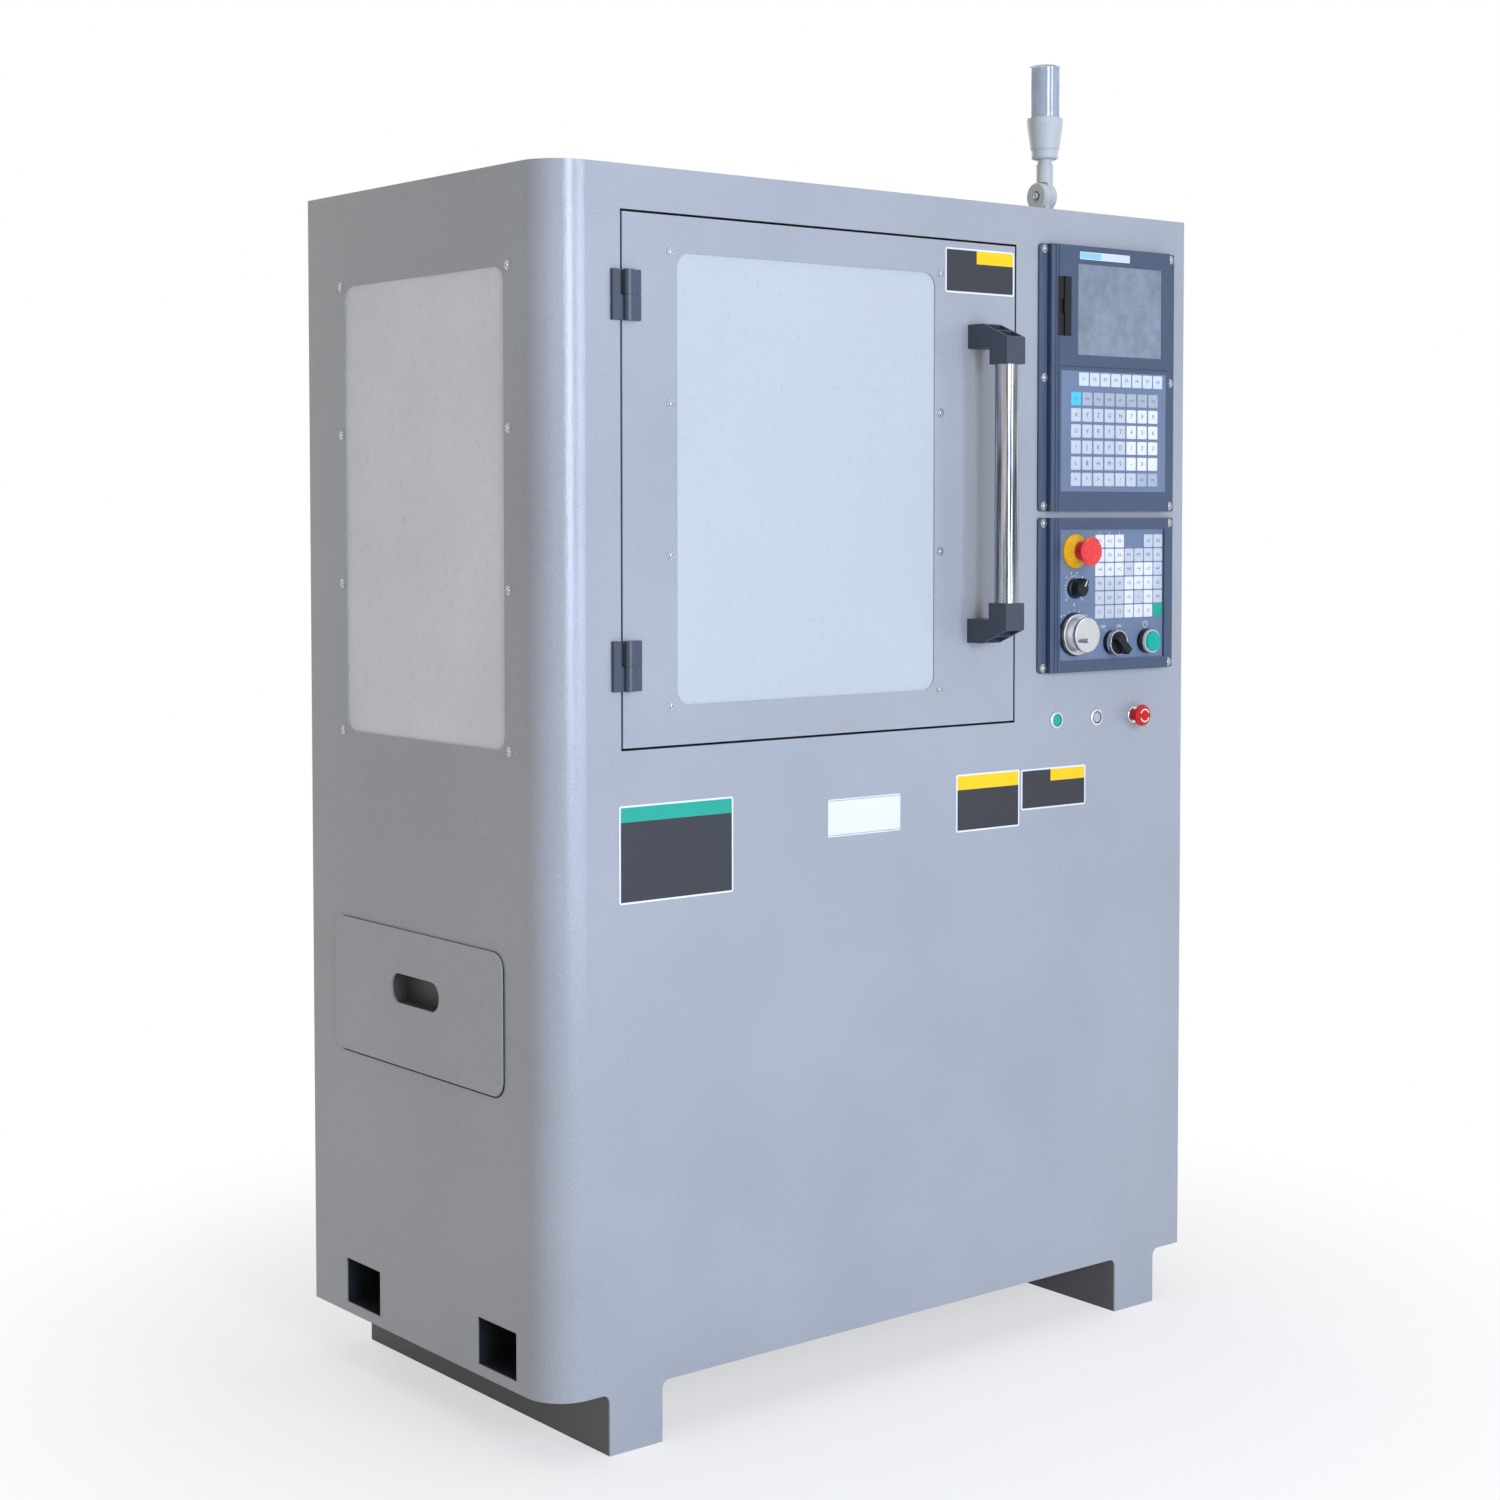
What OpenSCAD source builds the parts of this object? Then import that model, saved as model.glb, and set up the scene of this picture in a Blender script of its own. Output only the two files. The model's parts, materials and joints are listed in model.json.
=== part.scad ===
// Small enclosed machining center: folded sheet cabinet on two floor beams, hinged door,
// control panel, signal lamp, chip drawer, and the three-axis machine with tool drum inside.
// Sizes are in millimetres. X runs to the right along the front, Y to the back, Z up from the floor.

/* [Cabinet] */
// Width of the cabinet
cab_w = 1040; // [1000:5:1200]
// Depth of the cabinet
cab_d = 537; // [525:1:620]
// Height of the cabinet above its floor beams
cab_h = 1400; // [1390:5:1600]
// Thickness of the cabinet sheet
sheet_t = 2; // [1.5:0.1:3]
// Radius of the bend between front and left side
corner_r = 50; // [20:1:60]
// Height of the floor beams below the cabinet
foot_h = 72; // [50:1:110]
// Width of a floor beam
foot_w = 75; // [60:1:95]
// Distance from the left side to the left beam
foot_left = 79.5; // [60:0.5:100]
// Distance from the right side to the right beam
foot_right = 50; // [30:1:100]
// Wall of a floor beam
foot_wall = 5; // [3:0.5:10]
// Fillet beside each leg of the front sheet
foot_fillet = 10; // [3:1:20]

/* [Fork tubes] */
// Clear width of a fork tube
fork_w = 82; // [60:1:95]
// Clear height of a fork tube
fork_h = 56; // [45:1:70]
// Wall of a fork tube
fork_wall = 4; // [3:0.5:6]
// Height of the fork tube's clear space above the cabinet's lower edge
fork_rise = 13; // [8:1:25]
// Distance from the front to the centre of the front fork tube
fork_front = 113; // [105:1:125]
// Distance from the back to the centre of the rear fork tube
fork_back = 119.5; // [105:0.5:130]

/* [Door] */
// Distance from the left side to the door opening
door_left = 98; // [80:1:105]
// Distance from the door opening to the control panels
door_right = 38.5; // [36:0.5:80]
// Distance from the roof to the door opening
door_head = 50.5; // [40:0.5:60]
// Height of the door opening
door_h = 613; // [560:1:630]
// Gap round the door
door_gap = 2.8; // [1.5:0.1:4]
// Depth of the fold round the door and its opening
door_fold = 20; // [12:1:24]
// Distance from the door opening to the window's left edge
win_left = 80.5; // [60:0.5:100]
// Distance from the window to the door opening's right edge
win_right = 141.5; // [125:0.5:170]
// Distance from the door opening's lower edge to the window
win_sill = 48.5; // [42:0.5:60]
// Distance from the window to the door opening's upper edge
win_head = 44.5; // [40:0.5:80]
// Corner radius of the windows
win_r = 18; // [5:1:30]
// Thickness of the window panes
pane_t = 5; // [3:0.5:8]
// Overlap of a pane behind its sheet
pane_lap = 20; // [16:1:26]

/* [Handle] */
// Distance from the handle brackets' left side to the door opening's right edge
handle_right = 85; // [60:1:100]
// Overall height of the handle over both brackets
handle_h = 401; // [300:1:480]
// Width of a handle bracket
bracket_w = 32; // [30:1:44]
// Height of a bracket's foot on the door
bracket_h = 30; // [24:1:40]
// How far a bracket stands out from the door
bracket_reach = 70; // [66:1:90]
// How far a bracket's nose hangs past its foot
bracket_drop = 21.5; // [15:0.5:30]
// Radius of the handle tube
tube_r = 15; // [10:0.5:15]
// Distance of the tube's axis from the door
tube_out = 54; // [48:1:55]
// Wall of the handle tube
tube_wall = 1.5; // [1:0.1:3]

/* [Hinges] */
// Height of a hinge
hinge_h = 57.5; // [40:0.5:80]
// Distance of a hinge from the end of the door opening
hinge_inset = 68; // [40:1:120]
// Width of the leaf on the cabinet
leaf_frame_w = 13.5; // [10:0.5:20]
// Width of the leaf on the door
leaf_door_w = 19; // [15:0.5:26]
// Thickness of the hinge leaves
leaf_t = 5; // [3:0.5:5.5]
// Radius of the hinge knuckle
knuckle_r = 6; // [5.6:0.1:6.5]
// Radius of the hinge pin
pin_r = 3; // [2:0.1:4]

/* [Side window and drawer] */
// Distance from the front to the side window
side_win_d = 90; // [80:1:100]
// Distance from the back to the side window
side_win_back = 91; // [80:1:120]
// Distance from the roof to the side window
side_win_head = 114; // [90:1:150]
// Height of the side window
side_win_h = 550; // [480:1:580]
// Distance from the front to the drawer's front plate
plate_d = 95; // [80:1:100]
// Distance from the back to the drawer's front plate
plate_back = 61; // [50:1:75]
// Distance from the drawer plate's upper edge to the deck
plate_drop = 65; // [55:1:90]
// Height of the drawer's front plate
plate_h = 167; // [160:1:185]
// Thickness of the drawer's front plate
plate_t = 3; // [2.5:0.1:5]
// Corner radius of the drawer's front plate
plate_r = 20; // [5:1:30]
// Length of the finger slot
slot_l = 110; // [80:1:140]
// Height of the finger slot
slot_h = 36; // [26:1:42]
// Height of the finger slot's centre above the plate's lower edge
slot_rise = 95; // [85:1:105]
// Distance from the chip tray's end to the control bay
tray_end = 90; // [60:5:200]
// Depth of the chip tray
tray_h = 120; // [80:1:124]
// Space for the fingers behind the plate
finger_d = 45; // [35:1:60]

/* [Control panel] */
// Distance from the right side to the panels
panel_right = 23; // [10:0.5:25]
// Width of both panels
panel_w = 256.5; // [254:0.5:280]
// Distance from the roof to the display panel
panel_head = 46; // [20:1:60]
// Height of the operator panel
operator_h = 202; // [200:1:214]
// Gap between the two panels
panel_gap = 8.5; // [4:0.5:15]
// Height of the display panel
display_h = 345.5; // [340:0.5:360]
// How far the panels' raised faces stand out
panel_t = 13; // [11:0.5:16]
// Thickness of the panels' screw flanges
flange_t = 5; // [3:0.5:6]
// Depth of the operator panel's recess
recess_d = 4; // [2:0.5:5]
// Thickness of the key sheets
sheet_key_t = 0.8; // [0.5:0.1:1.2]
// Height of the raised keys on their sheet
key_rise = 0.5; // [0.3:0.1:0.8]
// Width of the display glass
screen_w = 159.5; // [140:0.5:164]
// Height of the display glass
screen_h = 118; // [100:0.5:119]
// Width of the port cover
port_w = 25; // [20:0.5:26]
// Height of the port cover
port_h = 76; // [50:1:90]

/* [Controls] */
// Radius of the emergency stop's ring
estop_ring_r = 22.3; // [20:0.1:24]
// Radius of the emergency stop's head
estop_head_r = 19; // [16:0.5:22]
// Travel of both emergency stops
estop_travel = 5; // [3:0.5:6]
// Radius of the handwheel's base
wheel_base_r = 28.5; // [26:0.5:32]
// Radius of the handwheel's dial
wheel_dial_r = 27; // [24:0.5:28]
// Radius of the handwheel's knob
wheel_knob_r = 22.7; // [18:0.1:24]
// Radius of the override knob
override_r = 13; // [10:0.5:15]
// Radius of the selector's and start button's bodies
switch_r = 15; // [12.5:0.5:16]
// Radius of the collars of the power buttons
collar_r = 11.3; // [10.5:0.1:14]
// Radius of the barrels behind the power buttons
barrel_r = 9.5; // [9:0.1:10]
// Distance from the operator panel down to the power buttons
power_drop = 62.3; // [30:0.1:80]
// Radius of the small emergency stop's head
stop_head_r = 14.3; // [12:0.1:18]
// Travel of the push buttons
button_travel = 3; // [2:0.5:4]

/* [Signal lamp] */
// Distance from the right side to the lamp
lamp_right = 167; // [120:1:240]
// Distance from the front to the lamp
lamp_d = 100; // [70:1:200]
// Height of the lamp's pivot above the roof
lamp_pivot = 30.7; // [28:0.1:50]
// Radius of the lamp's pivot barrel
lamp_barrel_r = 18.5; // [16:0.5:20]
// Radius of the lamp's lens
lamp_r = 22.5; // [20:0.5:26]
// Height of the lens
lens_h = 69; // [50:1:100]
// Height of the cup below the lens
cup_h = 54.5; // [40:0.5:70]

/* [Machine] */
// Distance from the door opening's lower edge down to the deck
deck_drop = 168.5; // [155:0.5:180]
// How far the spindle stands to the right of the work room's middle
spindle_shift = 9; // [0:1:18]
// Height of the base casting
base_h = 100; // [80:1:110]
// Length of the base casting
base_l = 410; // [405:1:415]
// Width of the base casting
base_w = 200; // [180:1:230]
// Width of the column
col_w = 160; // [140:1:164]
// Depth of the column at its foot
col_d = 130; // [122:1:135]
// Height of the column
col_h = 600; // [590:1:610]
// Distance from the column's ways to the spindle axis
throat = 131; // [125:1:135]
// Length of the table
table_l = 340; // [335:1:360]
// Width of the table
table_w = 130; // [126:1:150]
// Thickness of the table
table_h = 40; // [34:1:48]
// Height of the spindle head
head_h = 160; // [140:1:180]
// Width of the spindle head
head_w = 110; // [96:1:118]
// Radius of the spindle
spindle_r = 25; // [18:0.5:28]
// Radius of the tool drum
drum_r = 110; // [104:1:114]
// Number of tool pockets in the drum
pockets = 6; // [4:1:8]

/* [Hidden] */
$fn = 64;

// Small allowances
cut = 1;
slide_gap = 0.3;
bore_gap = 0.05;
hole_gap = 0.4;
edge = 1;

// Levels and planes of the cabinet
shell_z = foot_h;
top_z = foot_h + cab_h;
door_z = top_z - door_head - door_h;
fork_z = shell_z + fork_rise;
fork_bottom = fork_z - fork_wall;
fork_top = fork_z + fork_h + fork_wall;
inner_back = cab_d - sheet_t;
deck_z = door_z - deck_drop;
fork_rear = cab_d - fork_back;
deck_under = deck_z - sheet_t;
panel_x = cab_w - panel_right - panel_w;
bay_gap = 25.5;
part_x = panel_x - bay_gap;
display_z = top_z - panel_head - display_h;
operator_z = display_z - panel_gap - operator_h;
door_w = panel_x - door_right - door_left;
win_w = door_w - win_left - win_right;
win_h = door_h - win_sill - win_head;
side_win_w = cab_d - side_win_d - side_win_back;
side_win_z = top_z - side_win_head - side_win_h;
plate_w = cab_d - plate_d - plate_back;
plate_z = deck_z - plate_drop - plate_h;
tray_l = part_x - tray_end - finger_d;
spindle_x = (sheet_t + pane_t + part_x) / 2 + spindle_shift;

// Rear service cover with louvres
cover_w = 230;
cover_h = 400;
cover_t = 2;
cover_lap = 15;
cover_x = (part_x + cab_w - cover_w) / 2;
cover_rise = 60;
cover_z = operator_z + cover_rise;
louvre_r = 6;
louvre_t = 1.5;
louvre_l = 150;
louvre_count = 9;
louvre_pitch = 36;

// The part's origin is on the floor below the middle of its outline
x_left = -(cab_w - plate_t) / 2;
y_front = -(cab_d + cover_t + louvre_r - bracket_reach) / 2;

// Screws
screw_r = 2;
screw_head_r = 4;
screw_head_h = 2.5;
screw_key_r = 1.6;
screw_key_d = 1.2;
win_screw_out = 9.5;
win_screw_rows = 4;

// Stand below the deck
post_w = 50;
post_wall = 4;
post_left = 110;
post_in = 105;
post_right = part_x - post_in;
runner_t = 3;
runner_leg = 20;
runner_rise = 16;
runner_z = plate_z + runner_rise;
tray_z = runner_z + runner_t + slide_gap;
tray_wall = 2;
tray_front = fork_front + post_w / 2 + runner_t + slide_gap;
tray_back = fork_rear - post_w / 2 - runner_t - slide_gap;
tray_mouth = 4;
chute_w = 100;
chute_l = 200;
chute_gap = 22;

// Door hinge axis, in front of the door
axis_gap = 0.5;
axis_out = knuckle_r + axis_gap;
axis_in = 7;
axis_x = door_left + axis_in;
hinge_split = 0.4;
door_x = door_left + door_gap;
door_low = door_z + door_gap;
door_panel_w = door_w - 2 * door_gap;
door_panel_h = door_h - 2 * door_gap;
handle_x = door_left + door_w - handle_right;
handle_low = door_z + (door_h - handle_h) / 2;
bracket_nose = bracket_reach - tube_out + tube_r;
bracket_crest = 27;
bracket_front_h = 12;
bracket_wall = 3.5;
spigot_l = 15;

// Panel section: flange, groove, ribs and raised face, from the sides inwards
lip = 2;
flange_w = 12.5;
flange_right = 15.5;
groove_w = 2;
groove_floor = 2;
rib_start = 19;
rib_w = 2;
rib_pitch = 5.5;
rib_d = 0.8;
face_inset = 31;
face_right = 26.5;
panel_r = 5;
seam_rise = 188;
seam_h = 1.2;
seam_d = 1.5;
panel_screw_left = 7.5;
panel_screw_right = 10;
panel_screw_end = 7;
panel_box_in = 14;
panel_box_d = 40;
keys_h = 157;
keys_low = 26;
screen_left = 61.5;
screen_low = 204;
screen_d = 2.2;
port_left = 23.5;
port_low = 228;
port_t = 3;
port_d = 14;
port_pin_r = 1.5;
overlay_low = 15;
overlay_h = 172;
sheet_w = panel_w - face_inset - face_right;
face_y = -panel_t;
overlay_y = face_y + recess_d - sheet_key_t;

// Membrane keys: width, height and pitch on each sheet
key_w = 17.4;
key_h = 16.7;
key_pitch = 21;
key_first = 18;
key_top = 27.8;
soft_key_pitch = 20.2;
soft_key_first = 32.4;
soft_key_top = 2.2;
key_cols = 8;
key_rows = 6;
pad_key_w = 16.3;
pad_key_h = 16.6;
pad_pitch = 18.7;
pad_first = 68;
pad_top = 7.5;
pad_cols = 7;
pad_rows = 6;
pad_gap_first = 3;
pad_gap_last = 4;

// Places of the controls on the operator panel
knob_x = panel_x + face_inset + wheel_base_r + hole_gap;
estop_rise = 158.5;
override_rise = 109.7;
wheel_rise = 49.5;
selector_in = 131;
start_in = 196;
switch_rise = 37;
power_on_in = 36.5;
power_off_in = 111.5;
stop_in = 183;
estop_z = operator_z + estop_rise;
override_z = operator_z + override_rise;
wheel_z = operator_z + wheel_rise;
selector_x = panel_x + selector_in;
start_x = panel_x + start_in;
switch_z = operator_z + switch_rise;
power_x = [panel_x + power_on_in, panel_x + power_off_in, panel_x + stop_in];
power_z = operator_z - power_drop;

// Emergency stops
estop_ring_h = 12;
estop_stem_r = 12;
estop_pin_r = 7;
estop_pin_h = 8;
estop_neck = 8;
estop_head_h = 13;
stop_stem_r = 8;
stop_pin_r = 4;
stop_pin_h = 6;
stop_head_h = 10;
collar_h = 5;
collar_back = 2.5;
barrel_l = 24;
button_r = 8;
button_l = 14;
button_out = 3;

// Knobs and switches
shaft_r = 3;
shaft_l = 9;
override_skirt_h = 5;
override_h = 18;
wheel_base_h = 4;
wheel_dial_h = 5;
wheel_knob_h = 16;
wheel_shaft_r = 6;
wheel_rim = 4;
crank_r = 3.3;
crank_l = 18;
crank_out = wheel_knob_r - crank_r - 2 * edge;
crank_turn = 201;
switch_h = 12;
lever_w = 10;
lever_h = 9;
lever_tip = 2;
lever_disc_h = 2;
lever_turn = -45;
start_r = switch_r - 2;
start_out = 5;

// Signal lamp
lamp_x = cab_w - lamp_right;
lamp_foot_r = 27;
lamp_foot_h = 6;
lamp_barrel_left = 4.7;
lamp_barrel_right = 9;
lamp_barrel_bevel = 4;
lamp_cheek_t = 12;
lamp_web = 15;
lamp_pin_r = 4;
lamp_pin_l = 10;
lamp_bolt_r = 7.5;
lamp_bolt_d = 3;
sleeve_r = 11.3;
sleeve_top = 43.5;
neck_r = 9.6;
neck_top = 50.5;
cup_low_r = 16;
cup_ring_r = 17.8;
cup_ring_h = 11;
cup_step = 14;
cup_step_r = 19.5;
cup_band = 8;
cup_rim = 1.5;
lens_wall = 2.5;
lens_round = 2.5;

// Base, saddle and table
rear_gap = 10;
base_back = inner_back - rear_gap;
base_front = base_back - base_l;
base_top = deck_z + base_h;
col_front = base_back - col_d;
col_top = base_top + col_h;
col_taper = 30;
way_t = 24;
way_w = 20;
way_in = 35;
way_face = col_front - way_t;
spindle_d = way_face - throat;
y_way_h = 40;
y_way_w = 23;
y_way_in = 45;
saddle_l = 150;
saddle_h = 40;
saddle_gib_w = 11.7;
saddle_half = y_way_in + y_way_w + slide_gap + saddle_gib_w;
saddle_z = base_top + y_way_h + slide_gap;
gib_h = 14;
x_way_h = 30;
x_way_w = 20;
x_way_in = 40;
table_z = saddle_z + saddle_h + x_way_h + slide_gap;
t_slot_w = 10;
t_slot_d = 8;
t_head_w = 18;
t_head_h = 8;
t_pitch = 40;
screw_axis_r = 8;
screw_lug_t = 12;
screw_lug_w = 44;
nut_l = 30;
nut_w = 36;
y_screw_z = base_top + y_way_h / 2;
x_screw_z = saddle_z + saddle_h + x_way_h / 2;
y_lug_gap = 6;
y_lug_back = way_face - y_lug_gap;
z_screw_d = col_front - way_t / 2;
z_screw_r = 6;
z_lug_rise = 60;
z_lug_z = base_top + z_lug_rise;
z_cap_t = 12;
motor_w = 70;
motor_l = 78;
motor_round = 8;
x_motor_w = 56;
x_motor_l = 62;

// Spindle head
head_plate_t = 26;
head_gib_w = 15;
head_front = 50;
head_gap = 8;
head_z = col_top - z_cap_t - head_gap - head_h;
quill_r = 40;
quill_h = 40;
nose_r = 32;
nose_h = 14;
taper_r = 16;
taper_top_r = 9;
taper_h = 48;
spindle_motor_w = 90;
spindle_motor_h = 105;

// Tool drum, parked clear of the spindle
drum_pitch_r = 90;
drum_clear = 50;
drum_x = drum_r + drum_clear;
drum_t = 12;
drum_below = 30;
drum_z = head_z - quill_h - nose_h - drum_below;
drum_hub_r = 28;
drum_hub_h = 50;
drum_axle_r = 10;
drum_collar_r = 18;
drum_collar_t = 5;
drum_lighten_r = 14;
pocket_r = 16;
carriage_half = 14;
carriage_t = 32;
beam_h = 50;
beam_t = 40;
beam_rise = 30;
beam_in = 7;
beam_tail = 50;
beam_z = head_z + beam_rise;
beam_front = way_face + beam_in;
beam_x = drum_x - beam_tail;
arm_t = 15;
arm_front = 25;

// Control gear on the partition
gear_plate_t = 3;
gear_low = 60;
gear_plate_d = 110;
gear_plate_l = 360;
gear_plate_h = 640;
drive_w = 60;
drive_h = 170;
drive_t = 120;
drive_count = 3;
drive_gap = 25;
inverter_w = 150;
inverter_h = 220;

// Colours
c_shell = "#b9bfcd";
c_dark = "#3f4652";
c_panel = "#56647c";
c_overlay = "#8494ab";
c_pane = "#d5deea";
c_steel = "#c8ccd2";
c_black = "#22252a";
c_red = "#e8363b";
c_yellow = "#f2b800";
c_green = "#10b896";
c_cast = "#8f9aa5";
c_white = "#eceff2";
c_liner = "#9aa3ad";

// Moves what is drawn from the cabinet's front left corner into the part's frame
module in_cabinet() {
  translate([x_left, y_front, 0])
    children();
}

// Extrudes an outline drawn in x and z from depth y to y + t
module on_front(x, z, y, t) {
  translate([x, y + t, z])
    rotate([90, 0, 0])
      linear_extrude(t)
        children();
}

// Extrudes an outline drawn in y and z from x to x + t
module on_side(x, y, z, t) {
  translate([x, y, z])
    rotate([90, 0, 90])
      linear_extrude(t)
        children();
}

// Cylinder along Y from depth y towards the back
module rod_y(x, y, z, r, l) {
  translate([x, y, z])
    rotate([-90, 0, 0])
      cylinder(r = r, h = l);
}

// Cylinder along X from x to the right
module rod_x(x, y, z, r, l) {
  translate([x, y, z])
    rotate([0, 90, 0])
      cylinder(r = r, h = l);
}

// Turned shape along Y: the outline is radius and distance out from depth y
module turned_out(x, y, z) {
  translate([x, y, z])
    rotate([90, 0, 0])
      rotate_extrude()
        children();
}

// Rectangle with round corners
module rounded(w, h, r) {
  translate([r, 0])
    square([w - 2 * r, h]);
  translate([0, r])
    square([w, h - 2 * r]);
  for (x = [r, w - r], y = [r, h - r])
    translate([x, y])
      circle(r);
}

// Square tube along Z
module post(x, y, z, l) {
  translate([x - post_w / 2, y - post_w / 2, z])
    linear_extrude(l)
      difference() {
        square(post_w);
        translate([post_wall, post_wall])
          square(post_w - 2 * post_wall);
      }
}

// Pan-head screw along Y with its head in front of depth y
module screw_y(x, y, z, l) {
  rod_y(x, y, z, screw_r, l);
  difference() {
    rod_y(x, y - screw_head_h, z, screw_head_r, screw_head_h);
    rod_y(x, y - screw_head_h - cut, z, screw_key_r, screw_key_d + cut);
  }
}

// Places of a window's screws: two columns of rows over the window's height
function window_screws(low, w, h) = [
  for (x = [-win_screw_out, w + win_screw_out], row = [0:win_screw_rows - 1])
    [x, low + row * h / (win_screw_rows - 1)]
];

// Places of the screws in a panel's flanges
function panel_screws(z, h, rows) = [
  for (x = [panel_screw_left, panel_w - panel_screw_right], row = [0:rows - 1])
    [panel_x + x, z + panel_screw_end + row * (h - 2 * panel_screw_end) / (rows - 1)]
];

side_screws = [for (s = window_screws(0, side_win_w, side_win_h))
  [side_win_d + s[0], side_win_z + s[1]]];
door_screws = [for (s = window_screws(0, win_w, win_h))
  [door_left + win_left + s[0], door_z + win_sill + s[1]]];
display_screws = panel_screws(display_z, display_h, 3);
operator_screws = panel_screws(operator_z, operator_h, 2);
cover_screws = [for (x = [cover_lap / 2, cover_w - cover_lap / 2], row = [0:2])
  [cover_x + x, cover_z + cover_lap / 2 + row * (cover_h - cover_lap) / 2]];

// Two floor beams, folded channels with closed ends
module feet() {
  color(c_liner)
    in_cabinet()
      for (x = [foot_left, cab_w - foot_right - foot_w])
        difference() {
          translate([x, sheet_t, 0])
            cube([foot_w, inner_back - sheet_t, fork_bottom]);
          translate([x + foot_wall, sheet_t + foot_wall, -cut])
            cube([foot_w - 2 * foot_wall, inner_back - sheet_t - 2 * foot_wall,
              fork_bottom - foot_wall + cut]);
        }
}

// Two rectangular tubes that take a lift truck's forks
module fork_tubes() {
  color(c_dark)
    in_cabinet()
      for (y = [fork_front, fork_rear])
        on_side(sheet_t, y - fork_w / 2 - fork_wall, fork_bottom, cab_w - 2 * sheet_t)
          difference() {
            square([fork_w + 2 * fork_wall, fork_h + 2 * fork_wall]);
            translate([fork_wall, fork_wall])
              square([fork_w, fork_h]);
          }
}

// Mouths of the fork tubes in a side sheet
module fork_mouths(x) {
  for (y = [fork_front, fork_rear])
    translate([x - cut, y - fork_w / 2, fork_z])
      cube([sheet_t + 2 * cut, fork_w, fork_h]);
}

// Section of the sheet that makes the front, the round corner and the left side
module wrap_section() {
  translate([corner_r, 0])
    square([cab_w - corner_r, sheet_t]);
  translate([0, corner_r])
    square([sheet_t, cab_d - corner_r]);
  translate([corner_r, corner_r])
    intersection() {
      difference() {
        circle(corner_r);
        circle(corner_r - sheet_t);
      }
      translate([-corner_r, -corner_r])
        square(corner_r);
    }
}

// Leg of the front sheet over a beam's end, with a fillet on each side
module leg_outline() {
  square([foot_w, foot_h + cut]);
  for (side = [0, 1])
    translate([side * foot_w, foot_h])
      mirror([1 - side, 0])
        difference() {
          translate([0, -foot_fillet])
            square([foot_fillet, foot_fillet + cut]);
          translate([foot_fillet, -foot_fillet])
            circle(foot_fillet);
        }
}

// Front and left side of the cabinet, folded from one sheet
module front_wrap() {
  color(c_shell)
    in_cabinet()
      difference() {
        union() {
          translate([0, 0, shell_z])
            linear_extrude(cab_h)
              wrap_section();
          for (x = [foot_left, cab_w - foot_right - foot_w])
            on_front(x, 0, 0, sheet_t)
              leg_outline();
          on_front(door_left - sheet_t, door_z - sheet_t, 0, door_fold)
            square([door_w + 2 * sheet_t, door_h + 2 * sheet_t]);
        }
        on_front(door_left, door_z, -cut, door_fold + 2 * cut)
          square([door_w, door_h]);
        on_side(-cut, side_win_d, side_win_z, sheet_t + 2 * cut)
          rounded(side_win_w, side_win_h, win_r);
        translate([-cut, tray_front - tray_mouth, tray_z - tray_mouth])
          cube([sheet_t + 2 * cut, tray_back - tray_front + 2 * tray_mouth,
            tray_h + 2 * tray_mouth]);
        fork_mouths(0);
        for (p = [[operator_z, operator_h], [display_z, display_h]])
          on_front(panel_x + panel_box_in, p[0] + panel_box_in, -cut, sheet_t + 2 * cut)
            square([panel_w - 2 * panel_box_in, p[1] - 2 * panel_box_in]);
        for (x = power_x)
          rod_y(x, -cut, power_z, barrel_r, sheet_t + 2 * cut);
        for (s = side_screws)
          rod_x(-cut, s[0], s[1], screw_r + hole_gap, sheet_t + 2 * cut);
        for (s = concat(display_screws, operator_screws))
          rod_y(s[0], -cut, s[1], screw_r + hole_gap, sheet_t + 2 * cut);
      }
}

// Right side of the cabinet
module right_panel() {
  color(c_shell)
    in_cabinet()
      difference() {
        translate([cab_w - sheet_t, sheet_t, shell_z])
          cube([sheet_t, cab_d - sheet_t, cab_h]);
        fork_mouths(cab_w - sheet_t);
      }
}

// Back of the cabinet, with the opening of the service cover
module rear_panel() {
  color(c_shell)
    in_cabinet()
      difference() {
        translate([sheet_t, inner_back, shell_z])
          cube([cab_w - 2 * sheet_t, sheet_t, cab_h]);
        translate([cover_x + cover_lap, inner_back - cut, cover_z + cover_lap])
          cube([cover_w - 2 * cover_lap, sheet_t + 2 * cut, cover_h - 2 * cover_lap]);
        for (s = cover_screws)
          rod_y(s[0], inner_back - cut, s[1], screw_r + hole_gap, sheet_t + 2 * cut);
      }
}

// Service cover on the back, with pressed louvres
module rear_cover() {
  louvre_low = cover_z + (cover_h - (louvre_count - 1) * louvre_pitch) / 2;
  louvre_x = cover_x + (cover_w - louvre_l) / 2;
  color(c_shell)
    in_cabinet()
      difference() {
        union() {
          translate([cover_x, cab_d, cover_z])
            cube([cover_w, cover_t, cover_h]);
          for (i = [0:louvre_count - 1])
            intersection() {
              rod_x(louvre_x, cab_d + cover_t, louvre_low + i * louvre_pitch,
                louvre_r, louvre_l);
              translate([louvre_x, cab_d, louvre_low + i * louvre_pitch])
                cube([louvre_l, cover_t + louvre_r, louvre_r]);
            }
        }
        for (i = [0:louvre_count - 1])
          intersection() {
            rod_x(louvre_x + louvre_t, cab_d + cover_t, louvre_low + i * louvre_pitch,
              louvre_r - louvre_t, louvre_l - 2 * louvre_t);
            translate([louvre_x, cab_d - louvre_r, louvre_low + i * louvre_pitch - cut])
              cube([louvre_l, cover_t + 2 * louvre_r, louvre_r + cut]);
          }
        for (s = cover_screws)
          rod_y(s[0], cab_d - cut, s[1], screw_r + hole_gap, cover_t + 2 * cut);
      }
}

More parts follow.
